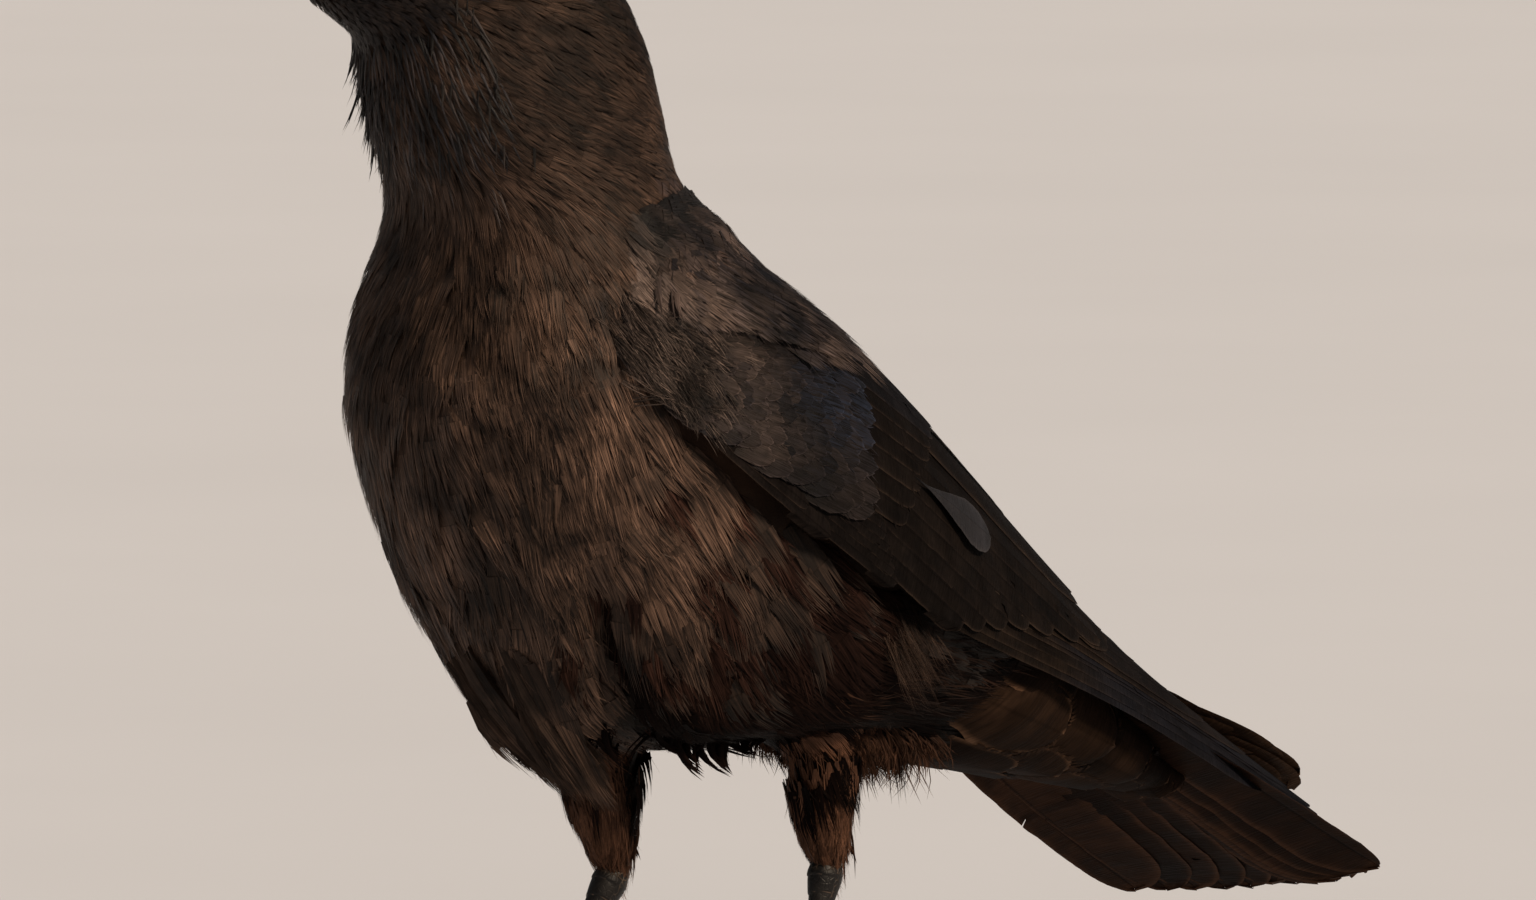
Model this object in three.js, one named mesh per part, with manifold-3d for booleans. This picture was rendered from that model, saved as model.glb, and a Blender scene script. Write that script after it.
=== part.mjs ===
// A life-size black crow, standing in mid stride with its head turned a little to its right.
// Units are millimetres once exported: the sizes below are in centimetres and the whole group is scaled by 10.
// +X is the bird's left, -Y is forward (the bill's side), +Z is up, and the toes stand on Z = 0.
import * as THREE from "three";
import { mergeVertices } from "three/addons/utils/BufferGeometryUtils.js";
import Module from "manifold-3d";

const wasm = await Module();
wasm.setup();

// ---------------------------------------------------------------- driving sizes, in cm
const MM = 10; // centimetres to millimetres
const GAP = 0.034; // clearance between neighbouring solids
const SHIFT_Y = -0.43; // moves the model so that the origin is under the middle of its bounding box
const SHIFT_X = 0.0;
const HEAD_TURN = THREE.MathUtils.degToRad(20); // the bill points this far to the bird's right
const NECK_PIVOT_Y = -9.5; // vertical axis that the head turns about
const TURN_FROM_Z = 22.8; // the turn starts here and is full at TURN_TO_Z
const TURN_TO_Z = 28.6;

const BILL_LENGTH = 5.3; // from the feathers of the forehead to the tip
const BILL_DEPTH = 2.0; // at its base, both mandibles
const BILL_BASE_Y = -14.75;
const BILL_Z = 29.55; // the line where the mandibles meet
const EYE_R = 0.68;

const TAIL_LENGTH = 17.9; // longest tail feather
const TAIL_PITCH = THREE.MathUtils.degToRad(28.9);
const TAIL_YAW = THREE.MathUtils.degToRad(-4); // swung a little to the bird's right
const TAIL_ROLL = THREE.MathUtils.degToRad(6); // its right edge hangs lower
const TAIL_SPREAD = THREE.MathUtils.degToRad(12.5); // half the fan
const TAIL_ARCH = { right: 0.62, left: 0.15 }; // how far the outermost feathers droop under the middle pair half way along
const TAIL_ROOT = [0, 4.6, 12.3];
const TAIL_FEATHERS = 12;

const RING = 24; // sides of a body section

// ---------------------------------------------------------------- small helpers
const V = (x, y, z) => new THREE.Vector3(x, y, z);
const lerp = (a, b, t) => a + (b - a) * t;
const clamp = (x, a = 0, b = 1) => Math.min(b, Math.max(a, x));
const smooth = (x) => {
  const t = clamp(x);
  return t * t * (3 - 2 * t);
};

// Catmull-Rom through rows of numbers, t from 0 to rows.length - 1.
function along(rows, t) {
  const n = rows.length;
  const i = Math.min(n - 2, Math.max(0, Math.floor(t)));
  const f = t - i;
  const at = (k) => rows[Math.min(n - 1, Math.max(0, k))];
  const [a, b, c, d] = [at(i - 1), at(i), at(i + 1), at(i + 2)];
  return b.map((_, k) => {
    const p0 = a[k], p1 = b[k], p2 = c[k], p3 = d[k];
    return 0.5 * (2 * p1 + (p2 - p0) * f + (2 * p0 - 5 * p1 + 4 * p2 - p3) * f * f + (3 * p1 - p0 - 3 * p2 + p3) * f * f * f);
  });
}

// A closed solid through rings of equal count. Its ends are fans from their middle, or, for a sheet whose rings run out along one face and back along the other, ladders between the two faces.
function loft(rings, sheet = false) {
  const n = rings[0].length;
  const pos = [];
  const idx = [];
  for (const r of rings) for (const p of r) pos.push(p.x, p.y, p.z);
  for (let i = 0; i + 1 < rings.length; i++)
    for (let j = 0; j < n; j++) {
      const k = (j + 1) % n;
      const p = i * n + j, q = i * n + k, r = (i + 1) * n + j, s = (i + 1) * n + k;
      idx.push(p, q, s, p, s, r);
    }
  const last = (rings.length - 1) * n;
  if (sheet) {
    for (let j = 0; j + 1 < n / 2; j++) {
      const [a, b, c, d] = [j, j + 1, n - 2 - j, n - 1 - j];
      idx.push(a, c, b, a, d, c);
      idx.push(last + a, last + b, last + c, last + a, last + c, last + d);
    }
    return closed(pos, idx);
  }
  const mid = (r) => r.reduce((s, p) => s.add(p), V(0, 0, 0)).multiplyScalar(1 / n);
  const a = mid(rings[0]), b = mid(rings[rings.length - 1]);
  const ia = pos.length / 3;
  pos.push(a.x, a.y, a.z);
  const ib = ia + 1;
  pos.push(b.x, b.y, b.z);
  for (let j = 0; j < n; j++) {
    const k = (j + 1) % n;
    idx.push(ia, k, j);
    idx.push(ib, last + j, last + k);
  }
  return closed(pos, idx);
}

function volumeOf(pos, idx) {
  let v = 0;
  for (let i = 0; i < idx.length; i += 3) {
    const [a, b, c] = [idx[i], idx[i + 1], idx[i + 2]].map((k) => V(pos[3 * k], pos[3 * k + 1], pos[3 * k + 2]));
    v += a.dot(b.cross(c)) / 6;
  }
  return v;
}

function closed(pos, idx) {
  if (volumeOf(pos, idx) < 0) for (let i = 0; i < idx.length; i += 3) [idx[i + 1], idx[i + 2]] = [idx[i + 2], idx[i + 1]];
  const g = new THREE.BufferGeometry();
  g.setAttribute("position", new THREE.Float32BufferAttribute(pos, 3));
  g.setIndex(idx);
  return g;
}

// three.js geometry to a manifold solid and back.
function solid(geometry) {
  const g = geometry.clone();
  for (const name of Object.keys(g.attributes)) if (name !== "position") g.deleteAttribute(name);
  const m = mergeVertices(g, 1e-4);
  return new wasm.Manifold(new wasm.Mesh({ numProp: 3, vertProperties: new Float32Array(m.attributes.position.array), triVerts: new Uint32Array(m.index.array) }));
}
function geometryOf(s) {
  const m = s.getMesh();
  const pos = [];
  for (let i = 0; i < m.numVert; i++) for (let k = 0; k < 3; k++) pos.push(m.vertProperties[i * m.numProp + k]);
  const g = new THREE.BufferGeometry();
  g.setAttribute("position", new THREE.Float32BufferAttribute(pos, 3));
  g.setIndex(new THREE.BufferAttribute(new Uint32Array(m.triVerts), 1));
  return g;
}
// The largest body of a solid: a cut can leave slivers behind.
function largest(s, tolerance = 0.014) {
  const parts = s.decompose();
  return parts.reduce((a, b) => (b.volume() > a.volume() ? b : a)).asOriginal().simplify(tolerance);
}
const slab = (sx, sy, sz, x, y, z) => new THREE.BoxGeometry(sx, sy, sz).translate(x, y, z);

// The head's turn, for anything on the neck or head.
function turned(p) {
  const a = -HEAD_TURN * smooth((p.z - TURN_FROM_Z) / (TURN_TO_Z - TURN_FROM_Z));
  const y = p.y - NECK_PIVOT_Y;
  return V(p.x * Math.cos(a) - y * Math.sin(a), NECK_PIVOT_Y + p.x * Math.sin(a) + y * Math.cos(a), p.z);
}
function turnedGeometry(g) {
  const p = g.attributes.position;
  for (let i = 0; i < p.count; i++) {
    const q = turned(V(p.getX(i), p.getY(i), p.getZ(i)));
    p.setXYZ(i, q.x, q.y, q.z);
  }
  return g;
}

// ---------------------------------------------------------------- neck and trunk
// Sections from the nape to the end of the undertail coverts: the point on the back (y, z), the point on the breast or belly (y, z), and half the width.
const BODY = [
  [-7.9, 31.0, -12.3, 30.5, 2.1], //  0 inside the head
  [-6.8, 29.6, -13.0, 28.4, 2.85], //  1 nape and chin
  [-5.8, 27.6, -13.0, 26.7, 3.3], //  2 throat
  [-5.35, 25.8, -12.45, 25.0, 3.5], //  3 middle of the neck
  [-4.75, 24.1, -11.8, 23.2, 3.75], //  4 neck base
  [-3.15, 22.45, -12.3, 21.1, 4.45], //  5 shoulders
  [-1.25, 20.8, -12.9, 18.4, 5.1], //  6 upper breast
  [0.85, 18.65, -11.75, 14.9, 5.4], //  7 breast
  [2.85, 16.65, -9.55, 11.3, 5.45], //  8 middle of the body
  [4.4, 15.0, -7.2, 9.15, 5.3], //  9 belly
  [5.8, 13.6, -2.2, 8.95, 4.85], // 10 flanks
  [7.3, 12.2, 3.0, 8.75, 3.95], // 11 vent
  [8.9, 10.9, 6.7, 8.2, 3.05], // 12 undertail coverts
  [11.2, 9.15, 10.3, 7.5, 2.35], // 13
  [13.1, 7.9, 12.7, 7.1, 1.45], // 14 their tips
];
const NECK_CUT = 4.35; // station where neck and trunk part
const HEAD_CUT_Z = 27.3; // height at the middle of the slanted cut between head and neck

// Sections are ellipses with slightly square shoulders.
const squareness = (a) => 1 + 0.045 * Math.sin(2 * a) * Math.sin(2 * a);

function bodyRing(t, grow = 0) {
  const [by, bz, fy, fz, w] = along(BODY, t);
  const c = V(0, (by + fy) / 2, (bz + fz) / 2);
  const up = V(0, by - fy, bz - fz);
  const h = up.length() / 2 + grow;
  up.normalize();
  const ring = [];
  for (let j = 0; j < RING; j++) {
    const a = (2 * Math.PI * j) / RING;
    const s = Math.sin(a), k = Math.cos(a);
    const full = squareness(a);
    ring.push(c.clone().addScaledVector(V(1, 0, 0), (w + grow) * s * full).addScaledVector(up, h * k * full));
  }
  return ring;
}
function bodyLoft(t0, t1, steps, grow = 0) {
  const rings = [];
  for (let i = 0; i <= steps; i++) rings.push(bodyRing(lerp(t0, t1, i / steps), grow).map(turned));
  return loft(rings);
}

// ---------------------------------------------------------------- head
// Sections from the face to the back of the head: y, top z, bottom z, half-width.
const HEAD = [
  [-14.9, 30.65, 28.8, 0.82], // feathers round the bill's base
  [-14.3, 31.15, 28.45, 1.3],
  [-13.3, 31.85, 27.75, 1.95],
  [-12.1, 32.35, 27.2, 2.4],
  [-10.5, 32.5, 26.95, 2.68],
  [-9.0, 32.05, 26.95, 2.7],
  [-7.7, 31.0, 27.4, 2.35],
  [-6.85, 29.7, 28.2, 1.3], // back of the head
];
function headRing(t, grow = 0) {
  const [y, top, low, w] = along(HEAD, t);
  const c = V(0, y, lerp(low, top, 0.5));
  const h = (top - low) / 2 + grow;
  const ring = [];
  for (let j = 0; j < RING; j++) {
    const a = (2 * Math.PI * j) / RING;
    // narrower over the crown than at the cheeks
    const s = Math.sin(a), k = Math.cos(a);
    ring.push(V(c.x + (w + grow) * s * (1 - 0.1 * k), c.y, c.z + h * k));
  }
  return ring;
}
const headGeometry = () => {
  const rings = [];
  const steps = 13;
  for (let i = 0; i <= steps; i++) rings.push(headRing(((HEAD.length - 1) * i) / steps).map(turned));
  return loft(rings);
};

// ---------------------------------------------------------------- bill
// s runs from 0 at the base to 1 at the tip.
const billY = (s) => BILL_BASE_Y + 1.0 - (BILL_LENGTH + 1.0) * s; // starts 1 cm inside the face
const culmen = (s) => BILL_Z + BILL_DEPTH * 0.6 * (1 - 0.22 * s) - 0.16 * s - 1.05 * Math.pow(s, 3.2);
const tomium = (s) => BILL_Z - 0.3 * s * s + 0.04 * Math.sin(Math.PI * s);
const gonys = (s) => BILL_Z - BILL_DEPTH * 0.42 * (1 - 0.35 * s) + 0.3 * Math.pow(s, 2.2) - 0.3 * s * s * 0.4;
const billHalf = (s) => 0.78 * Math.pow(1 - 0.97 * s, 0.72);
const BILL_SIDES = 12;
function mandible(upper, grow = 0) {
  const rings = [];
  const steps = 10;
  const end = upper ? 1 : 0.93;
  for (let i = 0; i <= steps; i++) {
    const s = end * Math.pow(i / steps, 0.9);
    const y = billY(s) + (i === steps ? -grow : i === 0 ? grow : 0);
    const edge = tomium(s);
    const out = upper ? Math.max(culmen(s), edge + 0.05) : Math.min(gonys(s), edge - 0.05);
    const w = Math.max(0.05, billHalf(s)) + grow;
    const ring = [];
    for (let j = 0; j < BILL_SIDES; j++) {
      const a = (2 * Math.PI * j) / BILL_SIDES;
      const k = Math.cos(a);
      const x = w * Math.sin(a) * (upper ? 1 : 0.92);
      // the cutting edge side is flat, the culmen or gonys side is a rounded ridge
      const z = k > 1e-6 ? edge + (out - edge) * Math.pow(k, 0.9) + Math.sign(out - edge) * grow : edge + (upper ? GAP / 2 : -GAP / 2) - Math.sign(out - edge) * grow;
      ring.push(V(x, y, z));
    }
    rings.push(ring);
  }
  return turnedGeometry(loft(rings));
}

// ---------------------------------------------------------------- eyes
const EYE = { y: -12.85, z: 30.3, depth: 0.46 };
function headHalfAt(y, z) {
  let best = 0;
  for (let i = 0; i <= 70; i++) {
    const [yy, top, low, w] = along(HEAD, (i / 70) * (HEAD.length - 1));
    if (Math.abs(yy - y) < 0.08) {
      const k = clamp((z - (top + low) / 2) / ((top - low) / 2), -1, 1);
      best = Math.max(best, w * Math.sqrt(1 - k * k) * (1 - 0.1 * k));
    }
  }
  return best;
}
function eye(side, grow = 0) {
  const x = headHalfAt(EYE.y, EYE.z) - EYE.depth;
  const c = turned(V(side * x, EYE.y, EYE.z));
  return new THREE.SphereGeometry(EYE_R + grow, 12, 8).translate(c.x, c.y, c.z);
}

// ---------------------------------------------------------------- wings
// Three edges of the folded wing as seen from the bird's left, each from the wrist (0) to the tips of the primaries (1): x, y, z.
const WING_LOW = [
  [5.0, -8.7, 18.6],
  [5.75, -6.3, 16.6],
  [6.0, -3.4, 14.7],
  [5.8, -0.3, 13.0],
  [5.25, 3.0, 11.55],
  [4.55, 6.4, 10.25],
  [3.85, 10.2, 8.8],
  [3.2, 14.2, 7.2],
  [2.45, 17.9, 5.7],
];
const WING_TOP = [
  [4.6, -8.2, 22.1],
  [3.1, -4.2, 22.2],
  [0.9, -1.7, 21.5],
  [0.4, 1.6, 19.05],
  [0.4, 4.6, 16.6],
  [0.45, 7.5, 14.1],
  [1.0, 10.7, 11.4],
  [1.6, 14.4, 8.6],
  [1.3, 18.2, 6.35],
];
const WING_BULGE = [0.2, 0.6, 0.9, 1.0, 0.92, 0.8, 0.55, 0.35, 0.15]; // 1 is a full quarter ellipse
const SHOULDER = [[-8.6, 18.2], [-8.9, 19.6], [-8.8, 21.2], [-8.2, 22.35], [-6.8, 22.75], [-4.6, 22.6], [-2.6, 21.9], [1.5, 22], [3, 16.5], [-5, 15.2]]; // side outline of the scapulars: y, z
const RIGHT_CROSS = [1.5, 1.3, 0.55]; // the right wing's tip lies this much further left, back and up than the left one's mirror image
function wingPoint(u, v) {
  const t = clamp(u) * (WING_LOW.length - 1);
  const a = V(...along(WING_LOW, t)), c = V(...along(WING_TOP, t));
  const k = along(WING_BULGE.map((b) => [b]), t)[0];
  const corner = V(a.x + 0.12, lerp(a.y, c.y, 0.86), lerp(a.z, c.z, 0.86));
  const b = a.clone().lerp(c, 0.5).lerp(corner, k);
  const w = 0.85;
  const [x0, x1, x2] = [(1 - v) * (1 - v), 2 * v * (1 - v) * w, v * v];
  return a.multiplyScalar(x0).addScaledVector(b, x1).addScaledVector(c, x2).multiplyScalar(1 / (x0 + x1 + x2));
}
function wingNormal(u, v) {
  const e = 0.004;
  const du = wingPoint(Math.min(1, u + e), v).sub(wingPoint(Math.max(0, u - e), v));
  const dv = wingPoint(u, Math.min(1, v + e)).sub(wingPoint(u, Math.max(0, v - e)));
  return dv.cross(du).normalize().multiplyScalar(-1);
}
// A shell over part of the wing: for each row r from 0 to 1 and column c from 0 to 1, where(r, c) gives [u, v], and thick(r, c) gives [outer, inner] offsets.
function wingShell(nr, nc, where, thick) {
  const grid = (which) => {
    const rows = [];
    for (let i = 0; i <= nr; i++) {
      const row = [];
      for (let j = 0; j <= nc; j++) {
        const [u, v] = where(i / nr, j / nc);
        const n = wingNormal(u, v);
        row.push(wingPoint(u, v).addScaledVector(n, thick(i / nr, j / nc)[which]));
      }
      rows.push(row);
    }
    return rows;
  };
  const out = grid(0), inn = grid(1);
  const rings = out.map((row, i) => [...row, ...inn[i].slice().reverse()]);
  return loft(rings, true);
}
const taper = (r) => Math.min(1, r / 0.08, (1 - r) / 0.08);
const scallop = (x, n, depth) => depth * Math.pow(Math.abs(Math.sin(Math.PI * n * x)), 0.6); // feather tips in a row
function wingSolid(side) {
  // primaries, out to the wing tip
  const primaries = wingShell(
    12, 5,
    (r, c) => {
      const u = lerp(0.34, 1, r);
      const round = Math.sqrt(1 - Math.pow(clamp((u - 0.93) / 0.073), 2)); // rounded wing tip
      return [u, lerp(0.5, c * lerp(0.66, 1, smooth((u - 0.7) / 0.12)), Math.max(0.25, round))];
    },
    (r, c) => [0.02, -lerp(0.3, 0.11, r)],
  );
  // secondaries and tertials: their tips run back along a slanting line
  const secondaries = wingShell(
    9, 14,
    (r, c) => {
      const end = lerp(0.45, 0.765, Math.pow(c, 0.9)) + scallop(c, 7, 0.018);
      return [lerp(0.06, end, r), lerp(0.035, 1, c)];
    },
    (r, c) => [lerp(0.2, 0.12, r), -lerp(1.3, 0.2, r)],
  );
  // scapulars and coverts
  const coverts = wingShell(
    8, 12,
    (r, c) => {
      const end = lerp(0.37, 0.4, c) + scallop(c, 6, 0.012);
      return [lerp(0.0, end, r), lerp(0.0, 1, c)];
    },
    (r, c) => [0.12 + 0.16 * Math.sqrt(Math.max(0, Math.sin(Math.PI * clamp(r * 0.86 + 0.08)))), -1.2],
  );
  // scapulars lying close over the shoulder
  const outline = new THREE.Shape(SHOULDER.map(([y, z]) => new THREE.Vector2(y, z)));
  const prism = new THREE.ExtrudeGeometry(outline, { depth: 9, bevelEnabled: false, curveSegments: 1 });
  prism.applyMatrix4(new THREE.Matrix4().set(0, 0, 1, 0.3, 1, 0, 0, 0, 0, 1, 0, 0, 0, 0, 0, 1));
  const shoulder = solid(bodyLoft(4.45, 9, 9, 0.3)).intersect(solid(prism));
  const all = solid(primaries).add(solid(secondaries)).add(solid(coverts)).add(shoulder);
  if (side > 0) return all;
  return all.scale([-1, 1, 1]).warp((p) => {
    const k = smooth((p[1] - 5) / 13);
    for (let i = 0; i < 3; i++) p[i] += RIGHT_CROSS[i] * k;
  });
}

// ---------------------------------------------------------------- tail
// Each feather fans out from the tail's root, the outer ones lower and shorter.
const tailTurn = new THREE.Matrix4()
  .makeRotationZ(-TAIL_YAW)
  .multiply(new THREE.Matrix4().makeRotationX(-TAIL_PITCH))
  .multiply(new THREE.Matrix4().makeRotationY(-TAIL_ROLL));
function tailPoint(s, q, lift = 0) {
  // s: distance from the root along the feather, q: -1 to 1 across the fan
  const t = clamp(s / TAIL_LENGTH);
  const a = TAIL_SPREAD * q;
  const bow = 0.35 * Math.sin(Math.PI * t); // outer feathers bow outwards
  const arch = q < 0 ? TAIL_ARCH.right : TAIL_ARCH.left;
  const droop = q * q * (0.3 + arch * Math.sin(Math.PI * Math.pow(t, 0.85)) + 0.1 * t);
  const p = V(0.85 * q + s * Math.sin(a) + bow * q, s * Math.cos(a), lift - droop);
  return p.applyMatrix4(tailTurn).add(V(...TAIL_ROOT));
}
function tailSolid() {
  const n = 36, steps = 7;
  const rings = [];
  for (let i = 0; i <= steps; i++) {
    const top = [], low = [];
    for (let j = 0; j <= n; j++) {
      const q = lerp(-1.06, 1.06, j / n);
      const feather = (j / n) * TAIL_FEATHERS;
      const tip = 1 - Math.pow(Math.abs((feather % 1) * 2 - 1), 2.5); // rounded tip of each feather
      const length = TAIL_LENGTH - 1.35 * q * q - 0.42 * (1 - tip);
      const s = lerp(0.4, length, i / steps);
      const half = lerp(0.16, 0.07, i / steps);
      const step = 0.03 * ((feather % 1) - 0.5) * (q < 0 ? 1 : -1);
      top.push(tailPoint(s, q, half + step));
      low.push(tailPoint(s, q, -half + step));
    }
    rings.push([...top, ...low.reverse()]);
  }
  return solid(loft(rings, true));
}

// ---------------------------------------------------------------- legs
// The left leg is planted, the right one has stepped forward.
const LEGS = {
  left: { side: 1, hip: V(2.6, -1.3, 12.0), ankle: V(2.45, -0.3, 6.0), foot: V(2.85, -1.85, 0.56), out: 8, lead: 0.04, bulk: 0.92 },
  right: { side: -1, hip: V(-2.6, -3.4, 12.0), ankle: V(-2.35, -3.3, 5.65), foot: V(-2.9, -6.5, 0.56), out: 4, lead: -0.32, bulk: 1.3 },
};
function tube(points, radii, sides = 12, squash = 1) {
  // a tube through points; radii are [across, fore-and-aft] at each
  const curve = new THREE.CatmullRomCurve3(points);
  const steps = Math.max(4, (points.length - 1) * 2);
  const rings = [];
  for (let i = 0; i <= steps; i++) {
    const t = i / steps;
    const p = curve.getPoint(t), d = curve.getTangent(t);
    const x = V(1, 0, 0).addScaledVector(d, -d.x).normalize();
    const y = d.clone().cross(x).normalize();
    const [rx, ry] = along(radii, t * (radii.length - 1));
    const ring = [];
    for (let j = 0; j < sides; j++) {
      const a = (2 * Math.PI * j) / sides;
      ring.push(p.clone().addScaledVector(x, rx * Math.cos(a)).addScaledVector(y, ry * squash * Math.sin(a)));
    }
    rings.push(ring);
  }
  return loft(rings);
}
function thigh(leg) {
  const { hip, ankle, lead, bulk } = leg;
  const a = ankle.clone().add(V(0, 0.02, 0.18));
  const at = (t, dx, dy) => hip.clone().lerp(a, t).add(V(dx, dy, 0));
  return tube(
    [hip, at(0.38, 0, lead * 1.4), at(0.7, 0, lead), at(0.88, 0, lead * 0.3), a],
    [[2.0 * bulk, 2.4 * bulk], [1.35 * bulk, 1.6 * bulk], [0.9, 1.0], [0.7, 0.76], [0.54, 0.6]],
    18,
  );
}
function shank(leg) {
  const { ankle, foot } = leg;
  const d = foot.clone().sub(ankle);
  const at = (t) => ankle.clone().addScaledVector(d, t);
  return tube(
    [at(-0.05), at(0.03), at(0.2), at(0.55), at(0.86), at(0.97), at(1.05)],
    [[0.32, 0.38], [0.4, 0.5], [0.26, 0.34], [0.235, 0.31], [0.28, 0.36], [0.4, 0.44], [0.26, 0.28]],
    12,
  );
}
// Toes: length without the claw, angle from straight ahead (outwards is positive), radius at root and tip, claw length.
const TOES = {
  middle: { length: 3.55, angle: 2, r0: 0.31, r1: 0.23, claw: 1.25, bumps: 3 },
  inner: { length: 2.5, angle: -32, r0: 0.28, r1: 0.22, claw: 1.05, bumps: 2 },
  outer: { length: 2.75, angle: 34, r0: 0.28, r1: 0.21, claw: 1.0, bumps: 4 },
  hind: { length: 1.85, angle: 176, r0: 0.3, r1: 0.25, claw: 1.55, bumps: 1 },
};
function toeFrame(leg, toe) {
  const a = THREE.MathUtils.degToRad(toe.angle + leg.out) * leg.side;
  const dir = V(Math.sin(a), -Math.cos(a), 0);
  const start = leg.foot.clone().setZ(0).addScaledVector(dir, 0.24);
  return { dir, start, across: V(dir.y, -dir.x, 0) };
}
function toeSolid(leg, toe, grow = 0) {
  const { dir, start, across } = toeFrame(leg, toe);
  const steps = 7, sides = 8;
  const rings = [];
  for (let i = 0; i <= steps; i++) {
    const t = i / steps;
    const pad = 0.035 * Math.cos(2 * Math.PI * toe.bumps * t);
    const r = lerp(toe.r0, toe.r1, t) - pad + grow * 1.15;
    const arch = 0.2 * Math.pow(1 - t, 3); // the toe comes down from the foot's joint
    const s = lerp(-grow, toe.length - 0.24 + grow, t);
    const c = start.clone().addScaledVector(dir, s).setZ(r * 0.86 + arch - grow);
    const end = i === steps ? 0.62 : i === 0 ? 0.9 : 1;
    const ring = [];
    for (let j = 0; j < sides; j++) {
      const a = (2 * Math.PI * j) / sides;
      ring.push(c.clone().addScaledVector(across, r * end * Math.cos(a)).add(V(0, 0, r * end * Math.sin(a))));
    }
    rings.push(ring);
  }
  return solid(loft(rings)).subtract(solid(slab(60, 60, 4, 0, 0, -2)));
}
function claw(leg, toe, grow = 0) {
  const { dir, start, across } = toeFrame(leg, toe);
  const steps = 5, sides = 6;
  const rings = [];
  const from = toe.length - 0.24 - 0.1;
  for (let i = 0; i <= steps; i++) {
    const t = i / steps;
    const r = lerp(0.17, 0.02, Math.pow(t, 0.9)) + grow;
    const bend = t * 1.15; // the claw curls down to the ground
    const reach = toe.claw * (Math.sin(bend) / 1.15);
    const z = 0.26 + 0.07 * Math.sin(Math.PI * t) - 0.24 * t * t;
    const c = start.clone().addScaledVector(dir, from + reach - (i === 0 ? grow : 0)).setZ(Math.max(z, r * 1.1 + 0.01));
    const ring = [];
    for (let j = 0; j < sides; j++) {
      const a = (2 * Math.PI * j) / sides;
      ring.push(c.clone().addScaledVector(across, r * 0.72 * Math.cos(a)).add(V(0, 0, r * 1.1 * Math.sin(a))));
    }
    rings.push(ring);
  }
  return solid(loft(rings));
}

// ---------------------------------------------------------------- colours
const looks = {
  plumage: new THREE.MeshStandardMaterial({ color: 0x1d1611, roughness: 0.5, metalness: 0 }),
  flight: new THREE.MeshStandardMaterial({ color: 0x17151a, roughness: 0.38, metalness: 0 }),
  horn: new THREE.MeshStandardMaterial({ color: 0x121214, roughness: 0.35, metalness: 0 }),
  leg: new THREE.MeshStandardMaterial({ color: 0x1a1817, roughness: 0.5, metalness: 0 }),
  eye: new THREE.MeshStandardMaterial({ color: 0x120a06, roughness: 0.08, metalness: 0 }),
};

// ---------------------------------------------------------------- assembly
const crow = new THREE.Group();
function add(name, geometry, look) {
  geometry.translate(SHIFT_X, SHIFT_Y, 0);
  geometry.scale(MM, MM, MM);
  geometry.computeVertexNormals();
  const mesh = new THREE.Mesh(geometry, looks[look]);
  mesh.name = name;
  crow.add(mesh);
}

const last = BODY.length - 1;
const trunk = solid(bodyLoft(NECK_CUT, last, 20));
const trunkRoom = solid(bodyLoft(NECK_CUT - 0.1, last, 20, GAP));
const cutLow = solid(bodyLoft(0, NECK_CUT - 0.018, 13));
const headWhole = solid(headGeometry());
const headAndNeck = headWhole.add(cutLow);
// a slanted plane from under the chin to the nape parts head from neck
const partingPlane = V(0, Math.sin(0.3), Math.cos(0.3)); // tilted so that the nape side is higher
const above = (offset) => headAndNeck.trimByPlane([partingPlane.x, -partingPlane.y, partingPlane.z], offset);
const planeAt = HEAD_CUT_Z * partingPlane.z - -9.6 * partingPlane.y;
const bills = solid(mandible(true, GAP)).add(solid(mandible(false, GAP)));
const eyeRoom = solid(eye(1, GAP)).add(solid(eye(-1, GAP)));
const head = largest(above(planeAt + GAP / 2).subtract(bills).subtract(eyeRoom), 0.011);
const neck = largest(headAndNeck.trimByPlane([-partingPlane.x, partingPlane.y, -partingPlane.z], -(planeAt - GAP / 2)), 0.006);

add("head", geometryOf(head), "plumage");
add("neck", geometryOf(neck), "plumage");
add("bill_upper", geometryOf(solid(mandible(true))), "horn");
add("bill_lower", geometryOf(solid(mandible(false))), "horn");
add("eye_left", geometryOf(solid(eye(1))), "eye");
add("eye_right", geometryOf(solid(eye(-1))), "eye");

// wings lie on the trunk, and the tail's root is inside it
const neckRoom = solid(bodyLoft(3.2, NECK_CUT + 0.05, 6, GAP));
const wings = {};
for (const [name, side] of [["wing_left", 1], ["wing_right", -1]]) {
  let w = wingSolid(side).subtract(trunkRoom).subtract(neckRoom);
  // a narrow parting line along the middle of the back
  w = w.trimByPlane([side, 0, 0], GAP);
  wings[name] = largest(w);
}
// room round a solid, from copies of it moved a little along the axes
const room = (s, g) => [[0, 0, -g], [0, 0, g], [g, 0, 0], [-g, 0, 0], [0, -g, 0]].reduce((a, d) => a.add(s.translate(d)), s);
let tail = tailSolid().subtract(trunkRoom);
for (const w of Object.values(wings)) tail = tail.subtract(room(w, GAP));
tail = largest(tail, 0.006);

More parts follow.
